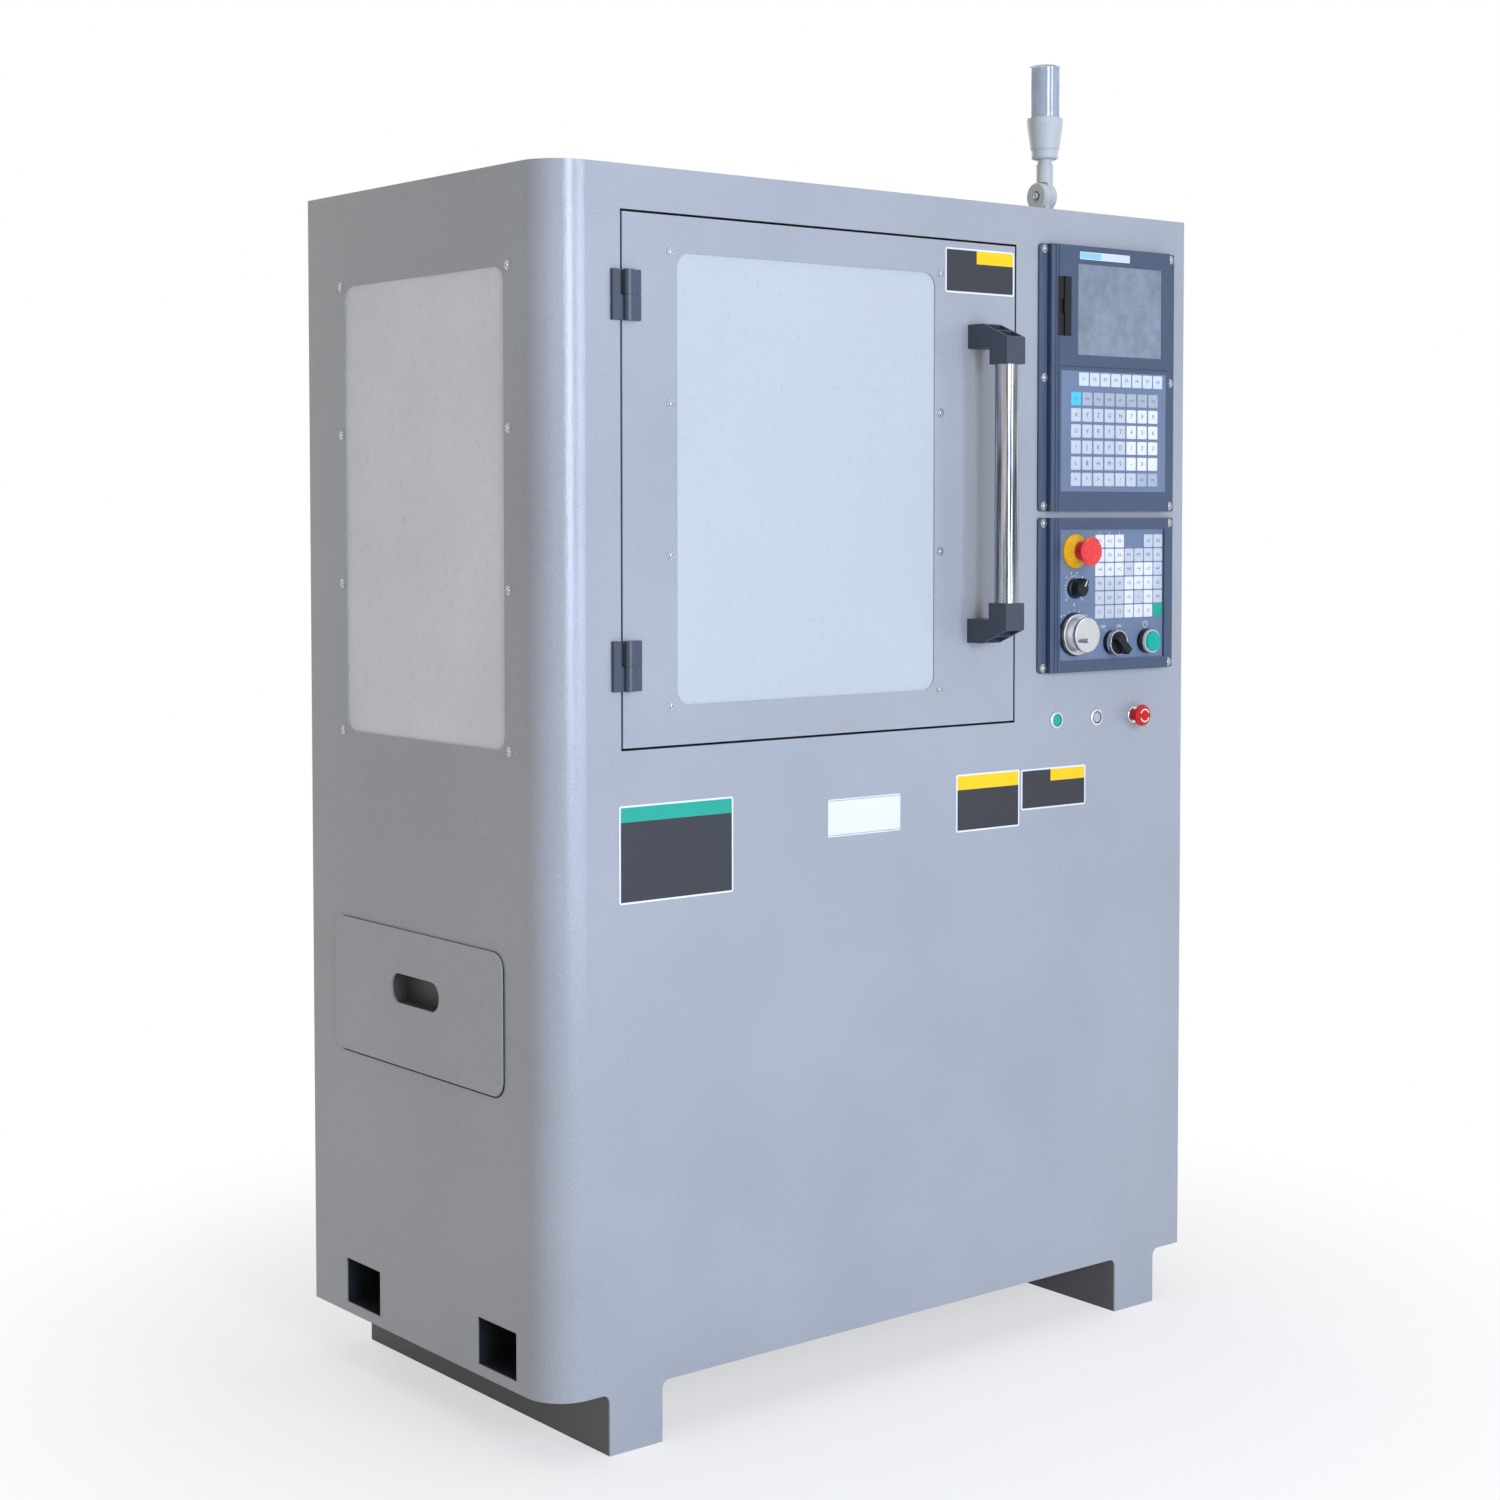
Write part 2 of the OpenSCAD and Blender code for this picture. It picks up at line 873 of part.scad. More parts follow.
// Roof sheet, let in between the walls
module roof_panel() {
  color(c_shell)
    in_cabinet()
      translate([0, 0, top_z - sheet_t])
        linear_extrude(sheet_t) {
          translate([corner_r, sheet_t])
            square([cab_w - sheet_t - corner_r, inner_back - sheet_t]);
          translate([sheet_t, corner_r])
            square([cab_w - 2 * sheet_t, inner_back - corner_r]);
          translate([corner_r, corner_r])
            circle(corner_r - sheet_t);
        }
}

// Deck below the machine with its chip chutes, and the wall towards the control bay
module splash_tray() {
  chute_y = (tray_front + tray_back - chute_l) / 2;
  color(c_liner)
    in_cabinet()
      difference() {
        union() {
          translate([0, 0, deck_under])
            linear_extrude(sheet_t) {
              translate([corner_r, sheet_t])
                square([part_x + sheet_t - corner_r, inner_back - sheet_t]);
              translate([sheet_t, corner_r])
                square([part_x, inner_back - corner_r]);
              translate([corner_r, corner_r])
                circle(corner_r - sheet_t);
            }
          translate([part_x, sheet_t, deck_under])
            cube([sheet_t, inner_back - sheet_t, top_z - sheet_t - deck_under]);
        }
        for (x = [spindle_x - base_w / 2 - chute_gap - chute_w, spindle_x + base_w / 2 + chute_gap])
          translate([x, chute_y, deck_under - cut])
            cube([chute_w, chute_l, sheet_t + 2 * cut]);
      }
}

// Welded stand of square tube on the fork tubes
module stand_frame() {
  rail_z = deck_under - post_w;
  color(c_dark)
    in_cabinet() {
      for (x = [post_left, post_right], y = [fork_front, fork_rear])
        post(x, y, fork_top, rail_z - fork_top);
      for (y = [fork_front, fork_rear])
        translate([post_left - post_w / 2, y, rail_z + post_w / 2])
          rotate([0, 90, 0])
            post(0, 0, 0, post_right - post_left + post_w);
      for (x = [post_left, post_right])
        translate([x, fork_front + post_w / 2, rail_z + post_w / 2])
          rotate([-90, 0, 0])
            post(0, 0, 0, fork_rear - fork_front - post_w);
    }
}

// Angle rails on the stand's posts that carry the chip drawer
module drawer_runners() {
  runner_l = post_right - post_left + post_w;
  color(c_steel)
    in_cabinet()
      for (side = [0, 1]) {
        wall_y = side == 0 ? fork_front + post_w / 2 : fork_rear - post_w / 2;
        translate([post_left - post_w / 2, wall_y, runner_z])
          mirror([0, side, 0]) {
            cube([runner_l, runner_t, 2 * runner_leg]);
            cube([runner_l, runner_leg, runner_t]);
          }
      }
}

// Chip drawer: open tray with its front plate and finger slot
module chip_drawer() {
  tray_w = tray_back - tray_front;
  color(c_shell)
    in_cabinet() {
      on_side(-plate_t, plate_d, plate_z, plate_t)
        difference() {
          rounded(plate_w, plate_h, plate_r);
          translate([(plate_w - slot_l) / 2, slot_rise - slot_h / 2])
            rounded(slot_l, slot_h, slot_h / 2 - slide_gap);
        }
      difference() {
        translate([0, tray_front, tray_z])
          cube([finger_d + tray_l, tray_w, tray_h]);
        translate([finger_d + tray_wall, tray_front + tray_wall, tray_z + tray_wall])
          cube([tray_l - 2 * tray_wall, tray_w - 2 * tray_wall, tray_h]);
        translate([-cut, tray_front + tray_wall, tray_z + tray_wall])
          cube([finger_d + cut, tray_w - 2 * tray_wall, tray_h]);
      }
    }
}

// Pane behind the side sheet
module side_window() {
  color(c_pane)
    in_cabinet()
      difference() {
        on_side(sheet_t, side_win_d - pane_lap, side_win_z - pane_lap, pane_t)
          rounded(side_win_w + 2 * pane_lap, side_win_h + 2 * pane_lap, win_r);
        for (s = side_screws)
          rod_x(sheet_t - cut, s[0], s[1], screw_r + hole_gap, pane_t + 2 * cut);
      }
}

// Screws of the side window, the control panels and the rear cover
module cabinet_screws() {
  color(c_steel)
    in_cabinet() {
      for (s = side_screws)
        translate([0, s[0], s[1]])
          rotate([0, 0, -90])
            screw_y(0, 0, 0, sheet_t + pane_t);
      for (s = concat(display_screws, operator_screws))
        screw_y(s[0], -flange_t, s[1], flange_t + sheet_t);
      for (s = cover_screws)
        translate([s[0], cab_d + cover_t, s[1]])
          rotate([0, 0, 180])
            screw_y(0, 0, 0, cover_t + sheet_t);
    }
}

// Door: folded pan with the window cut-out
module door_panel() {
  color(c_shell)
    in_cabinet()
      difference() {
        on_front(door_x, door_low, 0, door_fold)
          square([door_panel_w, door_panel_h]);
        on_front(door_x + sheet_t, door_low + sheet_t, sheet_t, door_fold)
          square([door_panel_w - 2 * sheet_t, door_panel_h - 2 * sheet_t]);
        on_front(door_left + win_left, door_z + win_sill, -cut, sheet_t + 2 * cut)
          rounded(win_w, win_h, win_r);
        for (s = door_screws)
          rod_y(s[0], -cut, s[1], screw_r + hole_gap, sheet_t + 2 * cut);
      }
}

// Pane behind the door sheet
module door_window() {
  color(c_pane)
    in_cabinet()
      difference() {
        on_front(door_left + win_left - pane_lap, door_z + win_sill - pane_lap, sheet_t, pane_t)
          rounded(win_w + 2 * pane_lap, win_h + 2 * pane_lap, win_r);
        for (s = door_screws)
          rod_y(s[0], sheet_t - cut, s[1], screw_r + hole_gap, pane_t + 2 * cut);
      }
}

// Screws of the door window
module door_window_screws() {
  color(c_steel)
    in_cabinet()
      for (s = door_screws)
        screw_y(s[0], 0, s[1], sheet_t + pane_t);
}

// Side outline of a handle bracket: distance out from the door, and height
module bracket_outline() {
  polygon([[0, 0], [bracket_reach - bracket_nose, 0], [bracket_reach - bracket_nose, -bracket_drop],
    [bracket_reach, -bracket_drop], [bracket_reach, bracket_front_h], [bracket_crest, bracket_h],
    [0, bracket_h]]);
}

// Upper handle bracket with the open pockets of its sloped face and the spigot in the tube
module bracket() {
  slope = atan2(bracket_h - bracket_front_h, bracket_reach - bracket_crest);
  slope_l = norm([bracket_h - bracket_front_h, bracket_reach - bracket_crest]);
  pocket_l = slope_l / 2 - 1.5 * bracket_wall;
  difference() {
    rotate([90, 0, -90])
      translate([0, 0, -bracket_w])
        linear_extrude(bracket_w)
          bracket_outline();
    for (i = [0, 1])
      translate([bracket_wall, -bracket_crest, bracket_h])
        rotate([slope, 0, 0])
          translate([0, -(i + 1) * (pocket_l + bracket_wall), -2 * bracket_wall])
            cube([bracket_w - 2 * bracket_wall, pocket_l, 3 * bracket_wall]);
  }
  translate([bracket_w / 2, -tube_out, -bracket_drop - spigot_l])
    cylinder(r = tube_r - tube_wall - bore_gap, h = spigot_l + cut);
}

// Both handle brackets, the lower one upside down
module handle_brackets() {
  color(c_dark)
    in_cabinet() {
      translate([handle_x, 0, handle_low + handle_h - bracket_h])
        bracket();
      translate([handle_x, 0, handle_low + bracket_h])
        mirror([0, 0, 1])
          bracket();
    }
}

// Steel tube of the handle, held between the bracket noses
module handle_tube() {
  tube_l = handle_h - 2 * (bracket_h + bracket_drop);
  color(c_steel)
    in_cabinet()
      translate([handle_x + bracket_w / 2, -tube_out, handle_low + bracket_h + bracket_drop])
        linear_extrude(tube_l)
          difference() {
            circle(tube_r);
            circle(tube_r - tube_wall);
          }
}

// Lower edges of the two hinges
hinge_rows = [door_z + hinge_inset, door_z + door_h - hinge_inset - hinge_h];

// Hinge leaves on the cabinet, with the lower knuckle and the pin
module hinge_frame_leaves() {
  half = hinge_h / 2 - hinge_split / 2;
  color(c_dark)
    in_cabinet()
      for (z = hinge_rows) {
        translate([door_left - leaf_frame_w, -leaf_t, z])
          cube([leaf_frame_w - door_gap, leaf_t, hinge_h]);
        translate([door_left - door_gap - cut, -leaf_t, z])
          cube([axis_x - door_left + door_gap + cut, leaf_t - hole_gap, half]);
        translate([axis_x, -axis_out, z])
          cylinder(r = knuckle_r, h = half);
        translate([axis_x, -axis_out, z])
          cylinder(r = pin_r, h = hinge_h);
      }
}

// Hinge leaves on the door, with the upper knuckle
module hinge_door_leaves() {
  half = hinge_h / 2 - hinge_split / 2;
  color(c_dark)
    in_cabinet()
      for (z = hinge_rows)
        difference() {
          union() {
            translate([axis_x + knuckle_r + hole_gap, -leaf_t, z])
              cube([leaf_door_w - knuckle_r - hole_gap, leaf_t, half]);
            translate([axis_x, -leaf_t, z + hinge_h - half])
              cube([leaf_door_w, leaf_t, half]);
            translate([axis_x + knuckle_r + hole_gap, -leaf_t, z + half - cut])
              cube([leaf_door_w / 3, leaf_t, hinge_split + 2 * cut]);
            translate([axis_x, -axis_out, z + hinge_h - half])
              cylinder(r = knuckle_r, h = half);
          }
          translate([axis_x, -axis_out, z - cut])
            cylinder(r = pin_r + bore_gap, h = hinge_h + 2 * cut);
        }
}

// One side of a panel's section: flange of width w, groove and shoulder
function panel_side(w) = [[0, 0], [0, lip - flange_t], [lip, -flange_t], [w, -flange_t],
  [w, -groove_floor], [w + groove_w, -groove_floor], [w + groove_w, lip - panel_t],
  [w + groove_w + lip, -panel_t]];

// The two grooves in a panel's face that leave a rib between them
panel_ribs = [for (i = [0, 1], p = [[0, 0], [0, rib_d], [rib_w, rib_d], [rib_w, 0]])
  [rib_start + i * rib_pitch + p[0], p[1] - panel_t]];

// Extruded panel of height h, with the box behind it that passes through the front sheet
module panel_body(z, h, screws) {
  right = panel_side(flange_right);
  other = [for (i = [len(right) - 1:-1:0]) [panel_w - right[i][0], right[i][1]]];
  difference() {
    union() {
      intersection() {
        translate([panel_x, 0, z])
          linear_extrude(h)
            polygon(concat(panel_side(flange_w), panel_ribs, other));
        on_front(panel_x, z, -panel_t - cut, panel_t + 2 * cut)
          rounded(panel_w, h, panel_r);
      }
      translate([panel_x + panel_box_in + slide_gap, -groove_floor, z + panel_box_in + slide_gap])
        cube([panel_w - 2 * (panel_box_in + slide_gap), panel_box_d + groove_floor,
          h - 2 * (panel_box_in + slide_gap)]);
    }
    for (s = screws)
      rod_y(s[0], -panel_t, s[1], screw_r + hole_gap, panel_t + cut);
  }
}

// Display panel with the seats of the glass, the key sheet and the port cover
module display_bezel() {
  color(c_panel)
    in_cabinet()
      difference() {
        panel_body(display_z, display_h, display_screws);
        on_front(panel_x + screen_left, display_z + screen_low, face_y - cut, screen_d + cut)
          square([screen_w, screen_h]);
        on_front(panel_x + flange_w + groove_w - cut, display_z + seam_rise, face_y - cut, seam_d + cut)
          square([panel_w - flange_w - flange_right - 2 * (groove_w - cut), seam_h]);
        on_front(panel_x + face_inset, display_z + keys_low, face_y - cut, sheet_key_t + cut)
          square([sheet_w, keys_h]);
        on_front(panel_x + port_left - hole_gap, display_z + port_low - hole_gap, face_y - cut,
          port_d + cut)
          square([port_w + 2 * hole_gap, port_h + 2 * hole_gap]);
      }
}

// Display glass, a little below the panel's face
module display_screen() {
  color(c_pane)
    in_cabinet()
      on_front(panel_x + screen_left, display_z + screen_low, face_y + screen_d / 4, screen_d * 3 / 4)
        square([screen_w, screen_h]);
}

// Display key sheet with its row of soft keys and its block of keys
module display_keypad() {
  sheet_top = display_z + keys_low + keys_h;
  color(c_overlay)
    in_cabinet() {
      on_front(panel_x + face_inset, display_z + keys_low, face_y, sheet_key_t)
        square([sheet_w, keys_h]);
      for (col = [0:key_cols - 1]) {
        translate([panel_x + face_inset + soft_key_first + col * soft_key_pitch,
          face_y - key_rise, sheet_top - soft_key_top - key_h])
          cube([key_w, key_rise, key_h]);
        for (row = [0:key_rows - 1])
          translate([panel_x + face_inset + key_first + col * key_pitch,
            face_y - key_rise, sheet_top - key_top - key_h - row * key_pitch])
            cube([key_w, key_rise, key_h]);
      }
    }
}

// Port cover, hinged at its left edge, with a grip rail and a catch
module port_cover() {
  port_x = panel_x + port_left;
  port_z = display_z + port_low;
  color(c_black)
    in_cabinet() {
      translate([port_x + port_pin_r, face_y, port_z])
        cube([port_w - port_pin_r, port_t, port_h]);
      translate([port_x + port_pin_r, face_y + port_pin_r, port_z])
        cylinder(r = port_pin_r, h = port_h);
      translate([port_x + port_w / 2, face_y - port_pin_r, port_z])
        cube([port_w / 4, 2 * port_pin_r, port_h]);
      translate([port_x + port_w * 2 / 5, face_y - 2 * port_pin_r, port_z + port_h * 3 / 8])
        cube([port_w * 2 / 5, 3 * port_pin_r, port_h / 4]);
    }
}

// Holes for the knob shafts in the operator panel
module shaft_holes() {
  rod_y(knob_x, face_y - cut, override_z, shaft_r + bore_gap, recess_d + shaft_l + cut);
}

// Operator panel with its recess
module operator_bezel() {
  color(c_panel)
    in_cabinet()
      difference() {
        panel_body(operator_z, operator_h, operator_screws);
        on_front(panel_x + face_inset, operator_z + overlay_low, face_y - cut, recess_d + cut)
          square([sheet_w, overlay_h]);
        shaft_holes();
      }
}

// Operator key sheet in the recess
module operator_keypad() {
  sheet_top = operator_z + overlay_low + overlay_h;
  color(c_overlay)
    in_cabinet()
      difference() {
        union() {
          on_front(panel_x + face_inset, operator_z + overlay_low, overlay_y, sheet_key_t)
            square([sheet_w, overlay_h]);
          for (col = [0:pad_cols - 1], row = [0:pad_rows - 1])
            if (row > 0 || col < pad_gap_first || col > pad_gap_last)
              translate([panel_x + face_inset + pad_first + col * pad_pitch,
                overlay_y - key_rise, sheet_top - pad_top - pad_key_h - row * pad_pitch])
                cube([pad_key_w, key_rise, pad_key_h]);
        }
        shaft_holes();
      }
}

// Ring of the large emergency stop
module estop_ring() {
  color(c_yellow)
    in_cabinet()
      turned_out(knob_x, overlay_y, estop_z)
        polygon([[estop_stem_r + bore_gap, 0], [estop_ring_r, 0],
          [estop_ring_r, estop_ring_h / 4], [estop_stem_r + 2, estop_ring_h],
          [estop_stem_r + bore_gap, estop_ring_h]]);
}

// Sliding stem of the large emergency stop
module estop_stem() {
  start = estop_travel + 1;
  stem_end = estop_ring_h + estop_travel + 1;
  color(c_red)
    in_cabinet()
      turned_out(knob_x, overlay_y, estop_z)
        polygon([[0, start], [estop_stem_r, start], [estop_stem_r, stem_end],
          [estop_pin_r, stem_end], [estop_pin_r, stem_end + estop_pin_h],
          [0, stem_end + estop_pin_h]]);
}

// Mushroom head that turns on a stem: neck, rim and slightly domed face
module stop_cap(from, pin_r, pin_h, neck_r, neck, head_r, head_h) {
  under = from + neck;
  face = under + head_h;
  polygon([[pin_r + bore_gap, from], [neck_r, from], [neck_r, under], [head_r - edge, under + 2 * edge],
    [head_r, under + 3 * edge], [head_r, face - 4 * edge], [head_r - 3 * edge, face - edge], [0, face],
    [0, from + pin_h + slide_gap], [pin_r + bore_gap, from + pin_h + slide_gap]]);
}

// Head of the large emergency stop
module estop_head() {
  color(c_red)
    in_cabinet()
      turned_out(knob_x, overlay_y, estop_z)
        stop_cap(estop_ring_h + estop_travel + 1 + slide_gap, estop_pin_r, estop_pin_h,
          estop_stem_r, estop_neck - slide_gap, estop_head_r, estop_head_h - estop_neck / 2);
}

// Override knob: skirt, pointer grip and shaft
module override_knob() {
  color(c_black)
    in_cabinet() {
      turned_out(knob_x, overlay_y, override_z)
        polygon([[0, -shaft_l], [shaft_r, -shaft_l], [shaft_r, slide_gap], [override_r, slide_gap],
          [override_r, override_skirt_h - edge], [override_r - 2 * edge, override_skirt_h],
          [override_r - 3 * edge, override_h - 2 * edge], [override_r - 5 * edge, override_h],
          [0, override_h]]);
      translate([knob_x, overlay_y - override_skirt_h + cut, override_z])
        rotate([90, 30, 0])
          translate([-override_r / 3, 0, 0])
            cube([override_r * 2 / 3, override_r, override_h - override_skirt_h]);
    }
}

// Fixed ring below the handwheel, with the bore of its shaft
module handwheel_base() {
  color(c_black)
    in_cabinet()
      turned_out(knob_x, overlay_y, wheel_z)
        polygon([[wheel_shaft_r + bore_gap, 0], [wheel_base_r, 0], [wheel_base_r, wheel_base_h - edge],
          [wheel_base_r - edge, wheel_base_h], [wheel_shaft_r + bore_gap, wheel_base_h]]);
}

// Handwheel: dial, knob and crank pin
module handwheel() {
  dial = wheel_base_h + slide_gap;
  face = dial + wheel_dial_h;
  crown = face + wheel_knob_h;
  color(c_steel)
    in_cabinet() {
      turned_out(knob_x, overlay_y, wheel_z)
        polygon([[0, slide_gap], [wheel_shaft_r, slide_gap], [wheel_shaft_r, dial],
          [wheel_dial_r, dial], [wheel_dial_r, face - edge], [wheel_dial_r - edge, face],
          [wheel_knob_r - wheel_rim, face], [wheel_knob_r - wheel_rim, crown - 6 * edge],
          [wheel_knob_r, crown - 5 * edge], [wheel_knob_r, crown - edge],
          [wheel_knob_r - edge, crown],
          [0, crown]]);
      translate([knob_x, overlay_y - crown, wheel_z])
        rotate([90, 0, 0])
          rotate([0, 0, crank_turn])
            translate([crank_out, 0, -cut])
              cylinder(r = crank_r, h = crank_l + cut);
    }
}

// Round bodies of the selector and of the start button
module switch_bodies() {
  color(c_black)
    in_cabinet()
      for (x = [selector_x, start_x])
        turned_out(x, overlay_y, switch_z)
          polygon([[start_r + bore_gap, 0], [switch_r + edge, 0],
            [switch_r + edge, switch_h / 2], [switch_r, switch_h / 2 + edge],
            [switch_r, switch_h], [start_r + bore_gap, switch_h]]);
}

// Selector lever on its turning disc
module selector_lever() {
  disc_top = switch_h + slide_gap + lever_disc_h;
  color(c_black)
    in_cabinet() {
      turned_out(selector_x, overlay_y, switch_z)
        polygon([[0, slide_gap], [start_r, slide_gap], [start_r, switch_h + slide_gap],
          [switch_r, switch_h + slide_gap], [switch_r, disc_top - edge],
          [switch_r - edge, disc_top], [0, disc_top]]);
      translate([selector_x, overlay_y - disc_top, switch_z])
        rotate([90, 0, 0])
          rotate([0, 0, lever_turn])
            translate([-start_r, -lever_w / 2, -cut])
              cube([start_r + switch_r + lever_tip, lever_w, lever_h + cut]);
    }
}

// Start button
module start_button() {
  low = button_travel + edge;
  color(c_green)
    in_cabinet()
      turned_out(start_x, overlay_y, switch_z)
        polygon([[0, low], [start_r, low], [start_r, switch_h + start_out - edge],
          [start_r - edge, switch_h + start_out], [0, switch_h + start_out]]);
}

// Collars of the power buttons and of the small emergency stop, with their barrels
module power_collars() {
  color(c_steel)
    in_cabinet()
      for (x = power_x)
        turned_out(x, 0, power_z)
          polygon([[button_r + bore_gap, -barrel_l], [barrel_r - bore_gap, -barrel_l],
            [barrel_r - bore_gap, 0], [collar_r, 0], [collar_r, collar_back],
            [collar_r - edge, collar_h], [button_r + bore_gap, collar_h]]);
}

// Push button in a collar
module power_button(x) {
  turned_out(x, 0, power_z)
    polygon([[0, collar_h + button_out - button_l], [button_r, collar_h + button_out - button_l],
      [button_r, collar_h + button_out - edge], [button_r - edge, collar_h + button_out],
      [0, collar_h + button_out]]);
}

module power_on_button() {
  color(c_green)
    in_cabinet()
      power_button(power_x[0]);
}

module power_off_button() {
  color(c_white)
    in_cabinet()
      power_button(power_x[1]);
}

// Sliding stem of the small emergency stop
module stop_stem() {
  stem_end = collar_h + estop_travel + 1;
  color(c_red)
    in_cabinet()
      turned_out(power_x[2], 0, power_z)
        polygon([[0, -button_l / 2], [stop_stem_r, -button_l / 2], [stop_stem_r, stem_end],
          [stop_pin_r, stem_end], [stop_pin_r, stem_end + stop_pin_h],
          [0, stem_end + stop_pin_h]]);
}

// Head of the small emergency stop
module stop_head() {
  color(c_red)
    in_cabinet()
      turned_out(power_x[2], 0, power_z)
        stop_cap(collar_h + estop_travel + 1 + slide_gap, stop_pin_r, stop_pin_h, stop_stem_r,
          2, stop_head_r, stop_head_h);
}

// Lamp foot on the roof, with the cheek that carries the bolt and the pivot pin
module lamp_base() {
  cheek = -lamp_barrel_left - slide_gap;
  out = cheek - lamp_cheek_t;
  color(c_white)
    in_cabinet()
      translate([lamp_x, lamp_d, top_z]) {
        cylinder(r = lamp_foot_r, h = lamp_foot_h);
        translate([out + lamp_bolt_d, -lamp_web, 0])
          cube([lamp_cheek_t - lamp_bolt_d, 2 * lamp_web, lamp_pivot]);
        translate([0, 0, lamp_pivot])
          rotate([0, 90, 0])
            rotate_extrude()
              polygon([[0, out + edge], [lamp_pin_r, out + edge], [lamp_pin_r, out + lamp_bolt_d],
                [lamp_bolt_r, out + lamp_bolt_d], [lamp_bolt_r, out], [lamp_barrel_r - 2 * edge, out],
                [lamp_barrel_r, out + 2 * edge], [lamp_barrel_r, cheek], [lamp_pin_r, cheek],
                [lamp_pin_r, cheek + lamp_pin_l], [0, cheek + lamp_pin_l]]);
      }
}

// Lamp arm: pivot barrel, sleeve and neck
module lamp_arm() {
  color(c_white)
    in_cabinet()
      translate([lamp_x, lamp_d, top_z + lamp_pivot])
        difference() {
          union() {
            rotate([0, 90, 0])
              rotate_extrude()
                polygon([[0, -lamp_barrel_left], [lamp_barrel_r, -lamp_barrel_left],
                  [lamp_barrel_r, lamp_barrel_right - lamp_barrel_bevel],
                  [lamp_barrel_r - lamp_barrel_bevel, lamp_barrel_right], [0, lamp_barrel_right]]);
            intersection() {
              cylinder(r = sleeve_r, h = sleeve_top);
              union() {
                translate([-lamp_barrel_left, -sleeve_r, 0])
                  cube([lamp_barrel_left + lamp_barrel_right - lamp_barrel_bevel, 2 * sleeve_r,
                    sleeve_top]);
                translate([-sleeve_r, -sleeve_r, lamp_barrel_r + slide_gap])
                  cube([2 * sleeve_r, 2 * sleeve_r, sleeve_top]);
              }
            }
            translate([0, 0, sleeve_top - cut])
              cylinder(r = neck_r, h = neck_top - sleeve_top + cut);
          }
          rod_x(-lamp_barrel_left - cut, 0, 0, lamp_pin_r + bore_gap, lamp_pin_l + cut + slide_gap);
        }
}

// Cup below the lens, with a ring at its foot
module lamp_cup() {
  color(c_white)
    in_cabinet()
      translate([lamp_x, lamp_d, top_z + lamp_pivot + neck_top])
        rotate_extrude()
          polygon([[0, 0], [cup_low_r, 0], [cup_ring_r, cup_ring_r - cup_low_r], [cup_ring_r, cup_ring_h],
            [cup_step_r, cup_step], [lamp_r + cup_rim, cup_h - cup_band], [lamp_r + cup_rim, cup_h],
            [0, cup_h]]);
}

// Clear lens, a closed cup with a round shoulder
module lamp_lens() {
  color(c_pane)
    in_cabinet()
      translate([lamp_x, lamp_d, top_z + lamp_pivot + neck_top + cup_h])
        rotate_extrude()
          difference() {
            union() {
              square([lamp_r, lens_h - lens_round]);
              square([lamp_r - lens_round, lens_h]);
              translate([lamp_r - lens_round, lens_h - lens_round])
                circle(lens_round);
            }
            translate([-lamp_r, 0])
              square([2 * lamp_r - lens_wall, lens_h - lens_wall]);
            translate([-2 * lamp_r, -lens_h])
              square([2 * lamp_r, 3 * lens_h]);
          }
}

// Base casting with the ways of the saddle and the bearings of its screw
module base_casting() {
  color(c_cast)
    in_cabinet()
      difference() {
        translate([spindle_x, 0, 0]) {
          on_side(-base_w / 2, base_front, deck_z, base_w)
            polygon([[0, base_h / 2], [base_h / 4, 0], [base_l, 0], [base_l, base_h],
              [0, base_h]]);
          for (side = [-1, 1])
            translate([side * (y_way_in + y_way_w / 2) - y_way_w / 2, base_front, base_top])
              cube([y_way_w, y_lug_back - base_front, y_way_h]);
          for (y = [base_front, y_lug_back - screw_lug_t])
            translate([-screw_lug_w / 2, y, base_top])
              cube([screw_lug_w, screw_lug_t, y_way_h - 2]);
        }
        rod_y(spindle_x, base_front - cut, y_screw_z, screw_axis_r + bore_gap, base_l);
      }
}

// Screw that drives the saddle
module y_screw() {
  color(c_steel)
    in_cabinet()
      rod_y(spindle_x, base_front, y_screw_z, screw_axis_r, y_lug_back - base_front);
}

// Saddle: nut and gibs below, ways of the table and its nut above
module saddle() {
  saddle_y = spindle_d - saddle_l / 2;
  color(c_cast)
    in_cabinet()
      difference() {
        translate([spindle_x, 0, 0]) {
          translate([-saddle_half, saddle_y, saddle_z])
            cube([2 * saddle_half, saddle_l, saddle_h]);
          for (side = [-1, 1]) {
            gib_w = saddle_half - y_way_in - y_way_w - slide_gap;
            translate([side * (saddle_half - gib_w / 2) - gib_w / 2, saddle_y,
              saddle_z - gib_h])
              cube([gib_w, saddle_l, gib_h]);
            translate([-saddle_half, spindle_d + side * (x_way_in + x_way_w / 2) - x_way_w / 2,
              saddle_z + saddle_h])
              cube([2 * saddle_half, x_way_w, x_way_h]);
          }
          translate([-nut_w / 2, spindle_d - nut_l / 2, base_top + 4])
            cube([nut_w, nut_l, saddle_z - base_top - 4]);
          translate([-nut_l / 2, spindle_d - nut_w / 2, saddle_z + saddle_h])
            cube([nut_l, nut_w, x_way_h - 2]);
        }
        rod_y(spindle_x, saddle_y, y_screw_z, screw_axis_r + bore_gap, saddle_l);
        rod_x(spindle_x - saddle_half, spindle_d, x_screw_z, screw_axis_r + bore_gap,
          2 * saddle_half);
      }
}

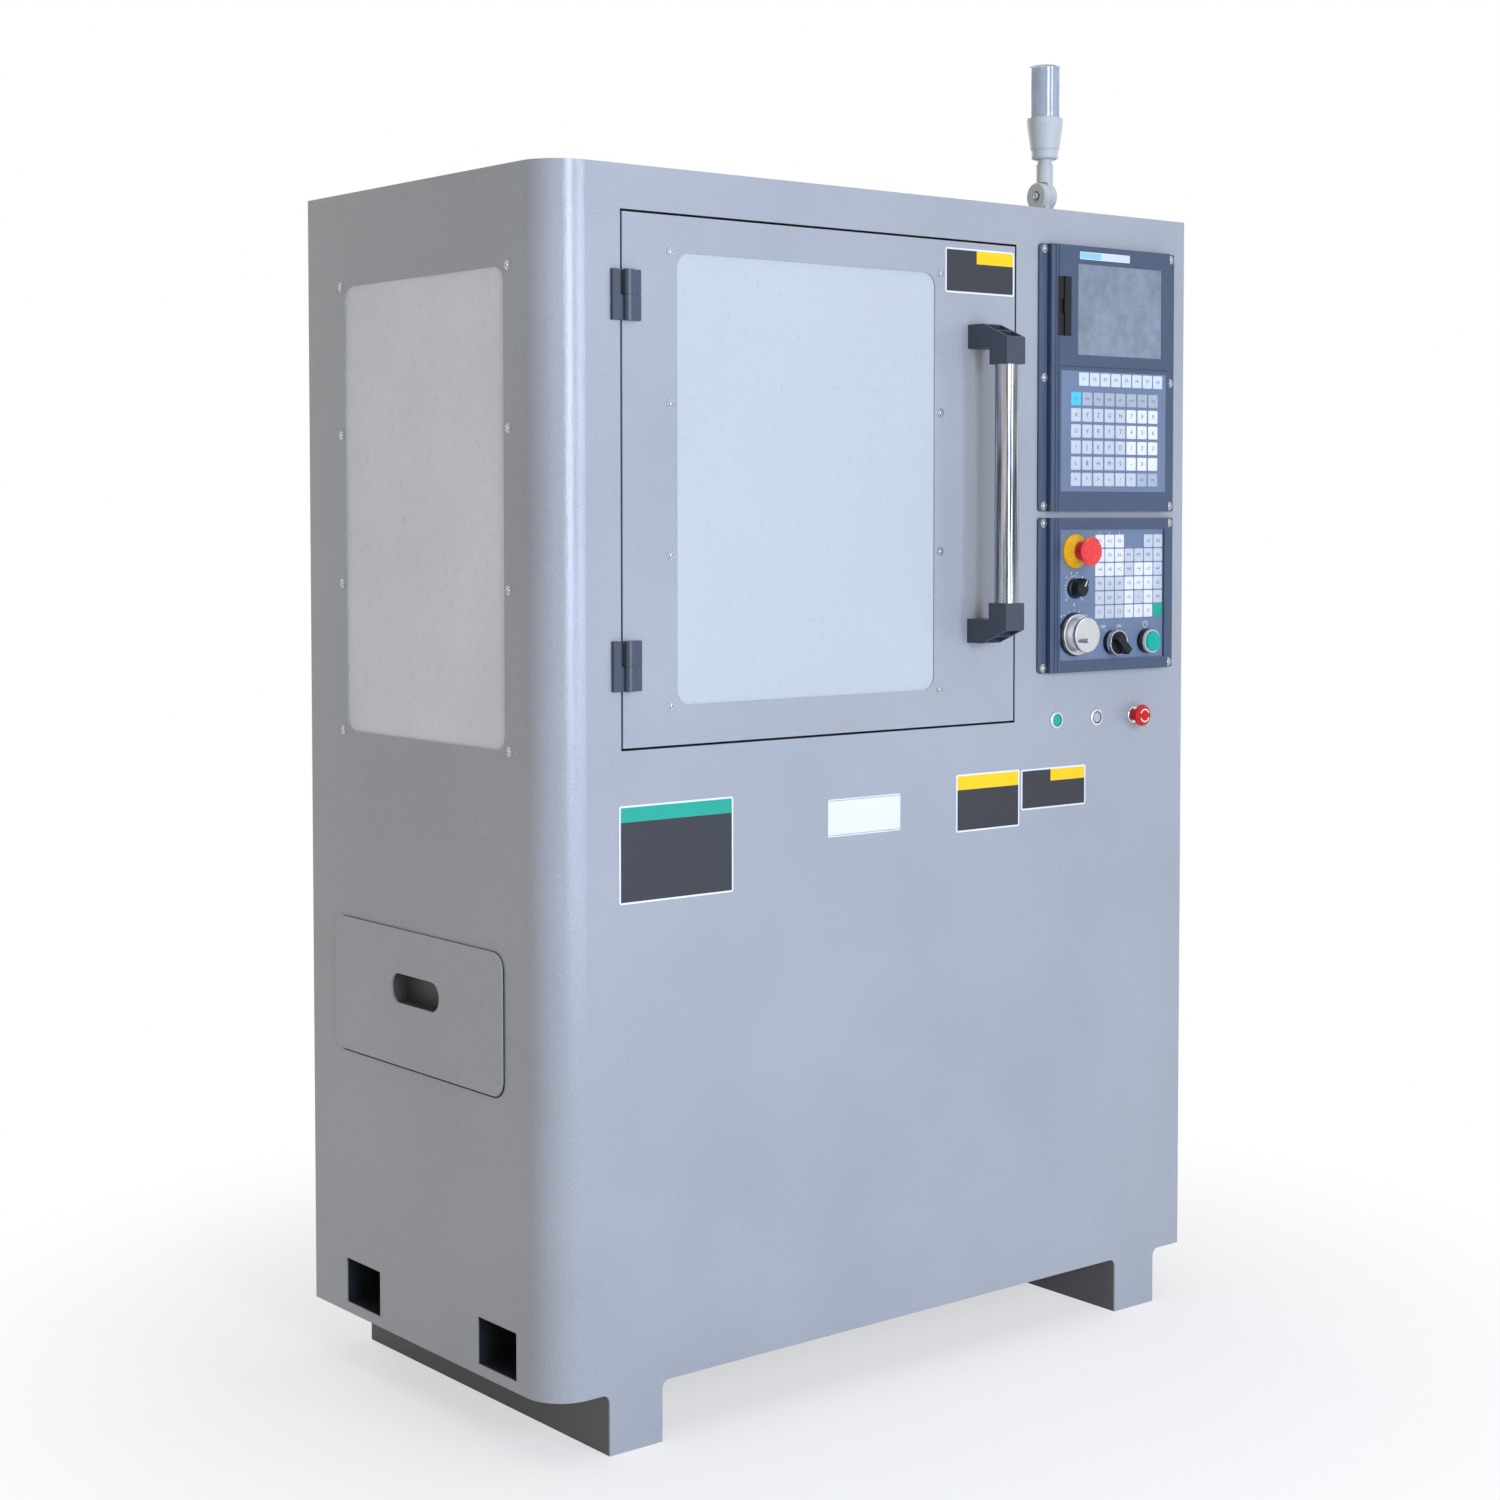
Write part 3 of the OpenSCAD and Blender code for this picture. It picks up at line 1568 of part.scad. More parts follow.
// Table with three T-slots, side gibs and the end bearings of its screw
module table() {
  gib_w = table_w / 2 - x_way_in - x_way_w - slide_gap;
  top = table_z + table_h;
  color(c_cast)
    in_cabinet()
      difference() {
        translate([spindle_x - table_l / 2, spindle_d, 0]) {
          translate([0, -table_w / 2, table_z])
            cube([table_l, table_w, table_h]);
          for (side = [-1, 1])
            translate([0, side * (table_w / 2 - gib_w / 2) - gib_w / 2, table_z - gib_h])
              cube([table_l, gib_w, gib_h]);
          for (x = [0, table_l - screw_lug_t])
            translate([x, -screw_lug_w / 2, table_z - x_way_h + 2])
              cube([screw_lug_t, screw_lug_w, x_way_h - 2]);
        }
        for (i = [-1:1])
          translate([spindle_x - table_l / 2 - cut, spindle_d + i * t_pitch, 0]) {
            translate([0, -t_slot_w / 2, top - t_slot_d])
              cube([table_l + 2 * cut, t_slot_w, t_slot_d + cut]);
            translate([0, -t_head_w / 2, top - t_slot_d - t_head_h])
              cube([table_l + 2 * cut, t_head_w, t_head_h]);
          }
        rod_x(spindle_x - table_l / 2 - cut, spindle_d, x_screw_z, screw_axis_r + bore_gap,
          table_l + 2 * cut);
      }
}

// Screw that drives the table, carried in its end bearings
module x_screw() {
  color(c_steel)
    in_cabinet()
      rod_x(spindle_x - table_l / 2, spindle_d, x_screw_z, screw_axis_r, table_l);
}

// Outline of a motor with round corners, about its middle
module motor_outline(w) {
  translate([-w / 2, -w / 2])
    rounded(w, w, motor_round);
}

// Motor on the right end of the table
module x_motor() {
  color(c_dark)
    in_cabinet()
      on_side(spindle_x + table_l / 2, spindle_d, x_screw_z, x_motor_l)
        motor_outline(x_motor_w);
}

// Column with the ways of the head, the screw's lower bearing and the motor bracket on top
module column() {
  color(c_cast)
    in_cabinet()
      difference() {
        translate([spindle_x, 0, 0]) {
          on_side(-col_w / 2, col_front, base_top, col_w)
            polygon([[0, 0], [col_d, 0], [col_d - col_taper, col_h], [0, col_h]]);
          for (side = [-1, 1])
            translate([side * (way_in + way_w / 2) - way_w / 2, way_face, z_lug_z])
              cube([way_w, way_t + cut, col_top - z_cap_t - z_lug_z]);
          translate([-screw_lug_w / 2, way_face, z_lug_z])
            cube([screw_lug_w, way_t + cut, screw_lug_t]);
          translate([-way_in - way_w, z_screw_d - motor_w / 2, col_top - z_cap_t])
            cube([2 * (way_in + way_w), col_front - z_screw_d + motor_w / 2 + cut, z_cap_t]);
        }
        translate([spindle_x, z_screw_d, z_lug_z - cut])
          cylinder(r = z_screw_r + bore_gap, h = col_h);
      }
}

// Screw that lifts the head
module z_screw() {
  color(c_steel)
    in_cabinet()
      translate([spindle_x, z_screw_d, z_lug_z])
        cylinder(r = z_screw_r, h = col_top - z_lug_z);
}

// Motors of the saddle's and the head's screws
module axis_motors() {
  color(c_dark)
    in_cabinet() {
      on_front(spindle_x, y_screw_z, base_front - motor_l, motor_l)
        motor_outline(motor_w);
      translate([spindle_x, z_screw_d, col_top])
        linear_extrude(motor_l)
          motor_outline(motor_w);
    }
}

// Spindle head: slide on the column's ways, with its nut, gibs and quill
module spindle_head() {
  plate_half = way_in + way_w + slide_gap + head_gib_w;
  head_back = way_face - slide_gap;
  color(c_cast)
    in_cabinet()
      difference() {
        translate([spindle_x, 0, head_z]) {
          translate([-head_w / 2, spindle_d - head_front, 0])
            cube([head_w, head_back - spindle_d + head_front, head_h]);
          translate([-plate_half, head_back - head_plate_t, 0])
            cube([2 * plate_half, head_plate_t, head_h]);
          for (side = [-1, 1])
            translate([side * (plate_half - head_gib_w / 2) - head_gib_w / 2, head_back - cut, 0])
              cube([head_gib_w, way_t * 2 / 3 + cut, head_h]);
          translate([-nut_w / 2, head_back - cut, head_h / 4])
            cube([nut_w, way_t - 2 + cut, head_h / 4]);
          translate([0, spindle_d, -quill_h])
            cylinder(r = quill_r, h = quill_h);
        }
        translate([spindle_x, spindle_d, head_z - quill_h - cut])
          cylinder(r = spindle_r + bore_gap, h = quill_h + head_h + 2 * cut);
        translate([spindle_x, z_screw_d, head_z])
          cylinder(r = z_screw_r + bore_gap, h = head_h);
      }
}

// Spindle with its nose flange and tool taper
module spindle() {
  nose_z = head_z - quill_h - slide_gap;
  color(c_steel)
    in_cabinet()
      translate([spindle_x, spindle_d, nose_z - nose_h])
        rotate_extrude()
          polygon([[taper_r, 0], [nose_r, 0], [nose_r, nose_h], [spindle_r, nose_h],
            [spindle_r, nose_h + quill_h + head_h - 2], [0, nose_h + quill_h + head_h - 2],
            [0, taper_h], [taper_top_r, taper_h]]);
}

// Motor on top of the spindle head
module spindle_motor() {
  color(c_dark)
    in_cabinet()
      translate([spindle_x, spindle_d, head_z + head_h])
        linear_extrude(spindle_motor_h)
          motor_outline(spindle_motor_w);
}

// Guide beam of the tool drum, on the column's left side
module drum_beam() {
  color(c_cast)
    in_cabinet()
      translate([beam_x, beam_front, beam_z])
        cube([spindle_x - col_w / 2 - beam_x, beam_t, beam_h]);
}

// Carriage of the tool drum: clasp on the beam, arm and axle
module drum_carriage() {
  back = beam_front - slide_gap;
  lip_h = 10;
  lip_d = 12;
  color(c_dark)
    in_cabinet()
      translate([drum_x, 0, 0]) {
        translate([-carriage_half, back - carriage_t, beam_z - slide_gap - lip_h])
          cube([2 * carriage_half, carriage_t, beam_h + 2 * (slide_gap + lip_h)]);
        for (z = [beam_z - slide_gap - lip_h, beam_z + beam_h + slide_gap])
          translate([-carriage_half, back - cut, z])
            cube([2 * carriage_half, lip_d + cut, lip_h]);
        translate([-carriage_half, spindle_d - arm_front, beam_z - slide_gap - lip_h])
          cube([2 * carriage_half, back - spindle_d + arm_front, arm_t]);
        translate([0, spindle_d, drum_z - slide_gap])
          cylinder(r = drum_axle_r, h = beam_z - drum_z);
        translate([0, spindle_d, drum_z - slide_gap - drum_collar_t])
          cylinder(r = drum_collar_r, h = drum_collar_t);
      }
}

// Tool drum with open pockets round its rim
module tool_drum() {
  color(c_steel)
    in_cabinet()
      translate([drum_x, spindle_d, drum_z])
        difference() {
          union() {
            cylinder(r = drum_r, h = drum_t);
            cylinder(r = drum_hub_r, h = drum_hub_h);
          }
          translate([0, 0, -cut])
            cylinder(r = drum_axle_r + bore_gap, h = drum_hub_h + 2 * cut);
          for (i = [0:pockets - 1])
            rotate([0, 0, i * 360 / pockets]) {
              translate([drum_pitch_r, 0, -cut])
                cylinder(r = pocket_r, h = drum_t + 2 * cut);
              translate([drum_pitch_r, -pocket_r, -cut])
                cube([drum_r, 2 * pocket_r, drum_t + 2 * cut]);
              rotate([0, 0, 180 / pockets])
                translate([drum_pitch_r * 2 / 3, 0, -cut])
                  cylinder(r = drum_lighten_r, h = drum_t + 2 * cut);
            }
        }
}

// Mounting plate in the control bay with the axis drives and the spindle inverter
module control_gear() {
  plate_x = part_x + sheet_t;
  low = deck_z + gear_low;
  color(c_dark)
    in_cabinet() {
      translate([plate_x, gear_plate_d, low])
        cube([gear_plate_t, gear_plate_l, gear_plate_h]);
      for (i = [0:drive_count - 1])
        translate([plate_x, gear_plate_d + drive_gap + i * (drive_w + drive_gap),
          low + gear_plate_h - drive_gap - drive_h])
          cube([gear_plate_t + drive_t, drive_w, drive_h]);
      translate([plate_x, gear_plate_d + drive_gap, low + drive_gap])
        cube([gear_plate_t + drive_t, inverter_w, inverter_h]);
    }
}

feet();
fork_tubes();
front_wrap();
right_panel();
rear_panel();
rear_cover();
roof_panel();
splash_tray();
stand_frame();
drawer_runners();
chip_drawer();
side_window();
cabinet_screws();
door_panel();
door_window();
door_window_screws();
handle_brackets();
handle_tube();
hinge_frame_leaves();
hinge_door_leaves();
display_bezel();
display_screen();
display_keypad();
port_cover();
operator_bezel();
operator_keypad();
estop_ring();
estop_stem();
estop_head();
override_knob();
handwheel_base();
handwheel();
switch_bodies();
selector_lever();
start_button();
power_collars();
power_on_button();
power_off_button();
stop_stem();
stop_head();
lamp_base();
lamp_arm();
lamp_cup();
lamp_lens();
base_casting();
y_screw();
saddle();
table();
x_screw();
x_motor();
column();
z_screw();
axis_motors();
spindle_head();
spindle();
spindle_motor();
drum_beam();
drum_carriage();
tool_drum();
control_gear();
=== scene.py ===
"""Looks of a small enclosed machining center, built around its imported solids."""

import json
import logging
import math
from collections.abc import Callable, Iterable
from dataclasses import dataclass
from enum import Enum

import bpy
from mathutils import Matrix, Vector

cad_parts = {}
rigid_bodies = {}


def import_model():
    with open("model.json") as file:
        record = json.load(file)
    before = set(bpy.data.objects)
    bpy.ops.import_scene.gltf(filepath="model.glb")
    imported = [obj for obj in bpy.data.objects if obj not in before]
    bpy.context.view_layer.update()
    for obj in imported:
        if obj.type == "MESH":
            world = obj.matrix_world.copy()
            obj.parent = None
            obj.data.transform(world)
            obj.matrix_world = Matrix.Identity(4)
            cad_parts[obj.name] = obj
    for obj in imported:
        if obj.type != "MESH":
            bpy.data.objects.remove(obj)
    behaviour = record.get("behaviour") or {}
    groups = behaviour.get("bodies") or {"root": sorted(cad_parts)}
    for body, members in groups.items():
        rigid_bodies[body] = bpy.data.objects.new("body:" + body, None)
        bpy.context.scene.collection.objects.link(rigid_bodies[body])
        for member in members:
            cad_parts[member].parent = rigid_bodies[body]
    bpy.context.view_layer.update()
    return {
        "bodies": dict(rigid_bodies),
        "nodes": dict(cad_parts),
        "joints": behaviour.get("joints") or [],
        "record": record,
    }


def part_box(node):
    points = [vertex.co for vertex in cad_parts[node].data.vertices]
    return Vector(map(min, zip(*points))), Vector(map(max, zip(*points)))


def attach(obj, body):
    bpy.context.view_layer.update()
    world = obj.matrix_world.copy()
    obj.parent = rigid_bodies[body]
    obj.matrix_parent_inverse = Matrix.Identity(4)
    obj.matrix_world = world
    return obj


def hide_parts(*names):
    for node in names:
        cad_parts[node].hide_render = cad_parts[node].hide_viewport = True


LOG = logging.getLogger("machining_center")
MM = 0.001
# Millimetres from the cabinet's left side and front to the shared frame's origin, which is on the floor.
ORIGIN_X = 518.5
ORIGIN_D = 237.5

# Cosine from which a face or an edge counts as lying square to an axis.
SQUARE = 0.9

Obj = bpy.types.Object
Test = Callable[[Vector, Vector], bool]
Triple = tuple[float, float, float]

# Turns that stand a piece made along Z out of the front, the left side or the back, or leave it.
OUT: Triple = (math.pi / 2, 0.0, 0.0)
LEFT: Triple = (0.0, -math.pi / 2, 0.0)
BACK: Triple = (-math.pi / 2, 0.0, 0.0)
STILL: Triple = (0.0, 0.0, 0.0)


def at(x: float, d: float, z: float) -> Vector:
    """Turn a place on the cabinet into the shared frame.

    Args:
        x: Distance from the cabinet's left side, in millimetres.
        d: Depth behind the front sheet, in millimetres.
        z: Height above the floor, in millimetres.

    Returns:
        The place in metres.
    """
    return Vector((x - ORIGIN_X, d - ORIGIN_D, z)) * MM


def linear(colour: str) -> tuple[float, float, float, float]:
    """Turn an sRGB hex value into linear light.

    Args:
        colour: Six hex digits after a hash sign.

    Returns:
        Red, green, blue and an alpha of one.
    """
    parts = [int(colour[i : i + 2], 16) / 255 for i in (1, 3, 5)]
    return (*[p / 12.92 if p <= 0.04045 else ((p + 0.055) / 1.055) ** 2.4 for p in parts], 1.0)


def add(tree: bpy.types.NodeTree, kind: str, settings: dict, links: dict) -> bpy.types.Node:
    """Add a node with its settings and links.

    Args:
        tree: Node tree that takes the node.
        kind: Blender's name for the node type, without ShaderNode in front.
        settings: Values by socket name, socket number or property name.
        links: Output sockets by the name or number of the input they feed.

    Returns:
        The new node.
    """
    made = tree.nodes.new(f"ShaderNode{kind}")
    for key, value in settings.items():
        if isinstance(key, int) or key in made.inputs:
            made.inputs[key].default_value = value
        else:
            setattr(made, key, value)
    for key, socket in links.items():
        tree.links.new(socket, made.inputs[key])
    return made


def blank(kept: bpy.types.bpy_prop_collection, name: str) -> tuple[bpy.types.ID, bpy.types.NodeTree]:
    """Make a material or a world whose node tree is empty.

    Args:
        kept: Blender's materials or worlds.
        name: Name of the new one.

    Returns:
        The new one and its node tree.
    """
    made = kept.new(name)
    made.use_nodes = True
    made.node_tree.nodes.clear()
    return made, made.node_tree


class Lay(Enum):
    """Direction in which a surface's pattern runs, as its stretch on each axis."""

    EVEN = (1.0, 1.0, 1.0)
    ALONG_X = (0.03, 1.0, 1.0)
    ALONG_Z = (1.0, 1.0, 0.03)


@dataclass(frozen=True)
class Finish:
    """A real material and how its surface was made."""

    name: str
    colour: str
    fleck: str
    grain_mm: float
    roughness: float
    bump: float = 0.1
    swing: float = 0.05
    lay: Lay = Lay.EVEN
    metallic: float = 0.0
    ior: float = 1.5
    coat: float = 0.0
    coat_rough: float = 0.05
    clear: float = 0.0
    cloud_mm: float = 240.0
    cloud: float = 0.05

    def material(self) -> bpy.types.Material:
        """Build the node material.

        Returns:
            A material on Object coordinates: flecked colour, soft clouds, uneven gloss and bump.
        """
        made, tree = blank(bpy.data.materials, self.name)
        place = add(tree, "TexCoord", {}, {}).outputs["Object"]
        stretch = [axis / (self.grain_mm * MM) for axis in self.lay.value]
        run = add(tree, "Mapping", {"Scale": stretch}, {"Vector": place}).outputs["Vector"]
        noise = {"Scale": 1.0, "Detail": 3.0, "Roughness": 0.6}
        grain = add(tree, "TexNoise", noise, {"Vector": run}).outputs["Fac"]
        noise = {"Scale": 1.0 / (self.cloud_mm * MM), "Detail": 2.0}
        cloud = add(tree, "TexNoise", noise, {"Vector": place}).outputs["Fac"]
        fleck = add(tree, "ValToRGB", {}, {"Fac": grain})
        low, high = fleck.color_ramp.elements
        low.position, low.color = 0.36, linear(self.fleck)
        high.position, high.color = 0.64, linear(self.colour)
        span = {"From Min": 0.3, "From Max": 0.7}
        swing = {"To Min": 1.0 - self.cloud, "To Max": 1.0 + self.cloud}
        shade = add(tree, "MapRange", span | swing, {"Value": cloud}).outputs["Result"]
        links = {"Vector": fleck.outputs["Color"], "Scale": shade}
        colour = add(tree, "VectorMath", {"operation": "SCALE"}, links).outputs["Vector"]
        swing = {"To Min": max(self.roughness - self.swing, 0.02), "To Max": self.roughness + self.swing}
        gloss = add(tree, "MapRange", span | swing, {"Value": grain}).outputs["Result"]
        height = {"Strength": self.bump, "Distance": self.grain_mm * MM * 0.5}
        relief = add(tree, "Bump", height, {"Height": grain}).outputs["Normal"]
        values = {
            "Metallic": self.metallic,
            "IOR": self.ior,
            "Coat Weight": self.coat,
            "Coat Roughness": self.coat_rough,
            "Transmission Weight": self.clear,
        }
        links = {"Base Color": colour, "Roughness": gloss, "Normal": relief, "Coat Normal": relief}
        skin = add(tree, "BsdfPrincipled", values, links).outputs["BSDF"]
        add(tree, "OutputMaterial", {}, {"Surface": skin})
        return made


@dataclass(frozen=True)
class Ink(Finish):
    """A flat ink printed on film or on a plate, under a satin laminate."""

    grain_mm: float = 2.0
    roughness: float = 0.45
    bump: float = 0.02


# Powder-coated sheet steel: glossy grey paint whose fine orange peel breaks the edges of highlights.
# The real pebbling is under a millimetre; it is drawn at 2.5 mm so that it shows.
POWDER_COAT = Finish(
    "powder_coated_steel", "#A2A5A9", "#9B9EA2", 2.5, 0.32, bump=0.24, ior=1.3, coat=0.75, coat_rough=0.07
)
# The same paint on the roof sheet in satin: wide, soft highlights.
SATIN_COAT = Finish("satin_powder_coated_steel", "#A2A5A9", "#9B9EA2", 2.5, 0.55, bump=0.24, ior=1.4)
# Welded tube in brushed-on satin enamel: even dark grey with faint unevenness.
FRAME_ENAMEL = Finish("satin_enamel_steel", "#605D5E", "#585556", 2.5, 0.5, bump=0.15)
# Liner sheet with the same enamel in mid grey: even, with wide, soft highlights.
LINER_ENAMEL = Finish("liner_enamel_steel", "#8D949E", "#80878F", 2.5, 0.45, bump=0.15)
# Zinc-plated steel: pale metal with a soft spangle of about 6 mm.
ZINC_PLATE = Finish("zinc_plated_steel", "#C9CDD2", "#AEB3B9", 6.0, 0.36, metallic=1.0, bump=0.05)
# Opal acrylic: milky white that hides what is behind it, with a smooth satin skin.
OPAL_ACRYLIC = Finish(
    "opal_acrylic", "#B9BEC0", "#B7BCBE", 9.0, 0.32, bump=0.02, ior=1.49, cloud_mm=260.0, cloud=0.02
)
# The same sheet at the side, painted paler than on the door to make up for the weaker light that falls there,
# with stronger soft clouds.
SIDE_ACRYLIC_PAINTED_LIGHT = Finish(
    "opal_acrylic_side", "#ECEFF2", "#E8EBEF", 9.0, 0.32, bump=0.02, ior=1.49, cloud_mm=160.0, cloud=0.04
)
# Nickel-plated screw steel: small bright heads.
NICKEL = Finish("nickel_plated_steel", "#BFC1C4", "#A9ABAF", 1.5, 0.26, metallic=1.0, bump=0.03)
# Glass-filled nylon: dark blue-black moulding with a spark-eroded texture, drawn at 1.2 mm to show.
NYLON = Finish("glass_filled_nylon", "#3A3F4C", "#313642", 1.2, 0.46, bump=0.2)
# Drawn and polished stainless tube: bright metal whose broad dark streaks along its length are painted
# reflections.
STAINLESS_WITH_PAINTED_STREAKS = Finish(
    "polished_stainless", "#A8ABAF", "#4E535A", 6.0, 0.15, lay=Lay.ALONG_Z, metallic=1.0, bump=0.03
)
# Zinc die casting in black satin paint: nearly smooth, soft highlights.
HINGE_BLACK = Finish("black_painted_die_casting", "#3B4452", "#333B48", 1.4, 0.34, bump=0.12)
# Anodised aluminium extrusion, dyed blue-grey: matt with faint lines along the section.
ANODISED = Finish(
    "blue_grey_anodised_aluminium", "#3C4B61", "#36455B", 1.0, 0.42, lay=Lay.ALONG_Z, bump=0.1, coat=0.1
)
# Display glass with the screen off: grey-blue and glossy; its soft blotches about 38 mm across are painted
# light and shade, standing for the wrinkles of a crumpled protective film that is not modelled.
SCREEN_GLASS = Finish(
    "display_glass", "#7E8994", "#747F8B", 14.0, 0.16, bump=0.01, cloud_mm=38.0, cloud=0.14, coat=0.3
)
# Printed polyester film: flat blue-grey with a fine matt grain, drawn at 1 mm to show.
PRINTED_FILM = Finish("printed_polyester_film", "#6B7A90", "#647389", 1.0, 0.5, bump=0.08)
# Acetal plastic: black, satin, slightly waxy.
BLACK_ACETAL = Finish("black_acetal", "#13161C", "#0E1116", 1.2, 0.36, bump=0.08, ior=1.35)
# Gloss polyamide in signal yellow and signal red, moulded smooth.
SIGNAL_YELLOW = Finish("signal_yellow_polyamide", "#F2B500", "#E5A600", 3.0, 0.34, bump=0.03, ior=1.4)
SIGNAL_RED = Finish("signal_red_polyamide", "#E8322F", "#D82825", 3.0, 0.24, bump=0.03, coat=0.3)
# The same red on the small stop: deeper and less glossy.
DEEP_RED = Finish("deep_red_polyamide", "#CC120D", "#BA0E0A", 3.0, 0.3, bump=0.02, ior=1.4)
# Turned aluminium: pale metal with fine tool marks, drawn at 0.8 mm to show.
TURNED_ALUMINIUM = Finish("turned_aluminium", "#DADCDE", "#C8CACD", 0.8, 0.3, metallic=1.0, bump=0.04)
# Tinted polycarbonate lens caps in green, lit from in front only.
LENS_GREEN = Finish("green_polycarbonate", "#00AE98", "#009F8A", 3.0, 0.4, bump=0.02, ior=1.35)
# The same moulding in pale grey, glossier.
LENS_GREY = Finish("grey_polycarbonate", "#B4B9C2", "#AAAFB9", 3.0, 0.28, bump=0.02, coat=0.3)
# Bright chrome on turned brass: mirror-like, with small hard highlights.
CHROME = Finish("bright_chrome", "#E4E6E8", "#D6D9DC", 4.0, 0.12, metallic=1.0, bump=0.01, swing=0.03)
# Satin white ABS: clean off-white with a soft sheen.
WHITE_ABS = Finish("satin_white_abs", "#BFC2C0", "#BABDBB", 5.0, 0.42, bump=0.02, ior=1.3)
# Clear acrylic of the lamp: colourless with a cool tint in its edges.
CLEAR_ACRYLIC = Finish(
    "clear_acrylic", "#DFE5EB", "#D8DFE6", 12.0, 0.06, bump=0.01, swing=0.02, ior=1.49, clear=1.0, cloud=0.01
)
# Frosted polycarbonate of the lamp's light column: lavender grey through the lens.
FROSTED = Finish("frosted_polycarbonate", "#E2E2EA", "#DADBE4", 5.0, 0.5, bump=0.04)
# Near-black with nearly no sheen: painted shade in the sockets of the screws, in the rings round their heads,
# round the drawer plate and in the door's gap; also the dark outer ring of the power buttons.
BLACK_OXIDE_AND_PAINTED_SHADE = Finish("black_oxide", "#16171A", "#101113", 1.5, 0.6, bump=0.05, ior=1.3)
# Painted iron castings: filled and sprayed, slightly rough.
CASTING_PAINT = Finish("painted_grey_iron", "#A3ABB1", "#959DA4", 4.0, 0.5, bump=0.25)
# Scraped and ground grey iron of the table: dull metal with lines along its travel.
GROUND_IRON = Finish(
    "ground_grey_iron", "#A4A8AC", "#8C9094", 0.9, 0.4, lay=Lay.ALONG_X, metallic=1.0, bump=0.1
)
# Hardened and ground steel: bright, even, nearly mirror-like.
GROUND_STEEL = Finish("ground_steel", "#CDD0D4", "#B7BABF", 0.8, 0.22, metallic=1.0, bump=0.05)
# Black stoving enamel on the motors: deep and even, with a soft sheen. In the fork tubes the same black is
# painted shade.
MOTOR_ENAMEL_AND_TUBE_SHADE = Finish("black_stoving_enamel", "#23262B", "#1C1F23", 2.0, 0.42, bump=0.12)
# Dark grey enamel on the drum's arm: even, with a soft sheen.
ARM_ENAMEL = Finish("dark_grey_enamel", "#5B6069", "#51565E", 2.0, 0.44, bump=0.12)
# Machined aluminium plate of the drum: pale with milling lines.
MILLED_ALUMINIUM = Finish(
    "milled_aluminium", "#D5D7DA", "#BDC0C4", 1.1, 0.34, lay=Lay.ALONG_X, metallic=1.0, bump=0.08
)
# Drive housings in grey-black powder coat: matt and finely pebbled.
GEAR_PAINT = Finish("grey_powder_coated_drives", "#63686F", "#595E65", 1.6, 0.5, bump=0.18)
# Prints on film and on plates: flat colours with a satin sheen.
INK_WHITE = Ink("white_ink_on_film", "#E4E4E3", "#DDDDDC")
INK_LIGHT = Ink("light_grey_ink_on_film", "#C5C9CE", "#BDC1C7")
INK_GREY = Ink("grey_ink_on_film", "#A9B0B9", "#A1A8B1")
INK_SOFT = Ink("pale_ink_on_film", "#D0D7DC", "#C8CFD5")
INK_BLUE = Ink("light_blue_ink_on_film", "#52C4F7", "#48B8EC")
INK_SKY = Ink("pale_blue_ink_on_film", "#8FC4E8", "#86BBE0")
INK_TEAL = Ink("teal_ink_on_film", "#00A48C", "#009781")
INK_YELLOW = Ink("yellow_ink_on_film", "#FBCB00", "#F2C000")
INK_SLATE = Ink("slate_ink_on_film", "#26282F", "#212329")
INK_LEGEND = Ink("legend_ink_on_film", "#3F4754", "#39414D", roughness=0.5)

SLOT_FINISHES: dict[str, Finish] = {
    "painted_sheet": POWDER_COAT,
    "frame_paint": FRAME_ENAMEL,
    "liner_paint": LINER_ENAMEL,
    "zinc_steel": ZINC_PLATE,
    "pane": OPAL_ACRYLIC,
    "screw_steel": NICKEL,
    "black_moulding": NYLON,
    "handle_steel": STAINLESS_WITH_PAINTED_STREAKS,
    "hinge_black": HINGE_BLACK,
    "panel_extrusion": ANODISED,
    "screen": SCREEN_GLASS,
    "key_sheet": PRINTED_FILM,
    "black_plastic": BLACK_ACETAL,
    "yellow_plastic": SIGNAL_YELLOW,
    "red_plastic": SIGNAL_RED,
    "dial_metal": TURNED_ALUMINIUM,
    "green_plastic": LENS_GREEN,
    "grey_plastic": LENS_GREY,
    "bright_collar": CHROME,
    "lamp_white": WHITE_ABS,
    "lamp_clear": CLEAR_ACRYLIC,
    "casting_paint": CASTING_PAINT,
    "table_iron": GROUND_IRON,
    "ground_steel": GROUND_STEEL,
    "motor_black": MOTOR_ENAMEL_AND_TUBE_SHADE,
    "arm_paint": ARM_ENAMEL,
    "drum_metal": MILLED_ALUMINIUM,
    "gear_paint": GEAR_PAINT,
}
NODE_FINISHES: dict[str, Finish] = {
    "roof_panel": SATIN_COAT,
    "side_window": SIDE_ACRYLIC_PAINTED_LIGHT,
    "stop_head": DEEP_RED,
    "stop_stem": DEEP_RED,
    # Black in the fork tubes is painted shade inside them.
    "fork_tubes": MOTOR_ENAMEL_AND_TUBE_SHADE,
}


class PaintShop:
    """Keeps one material for each finish and puts it on meshes."""

    def __init__(self) -> None:
        """Start with no materials."""
        self.made: dict[str, bpy.types.Material] = {}

    def coat(self, obj: Obj, *finishes: Finish) -> None:
        """Put finishes on a mesh, one for each material number.

        Args:
            obj: Mesh object.
            finishes: Finishes in the order of the material numbers.
        """
        if obj.data.materials:
            obj.data.materials.clear()
        for finish in finishes:
            if finish.name not in self.made:
                self.made[finish.name] = finish.material()
            obj.data.materials.append(self.made[finish.name])

    def dress(self, frame: dict) -> None:
        """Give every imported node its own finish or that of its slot.
        """
        for part in frame["record"]["subparts"]:
            node = part["node"]
            self.coat(frame["nodes"][node], NODE_FINISHES.get(node, SLOT_FINISHES[part["material_slot"]]))


SHOP = PaintShop()


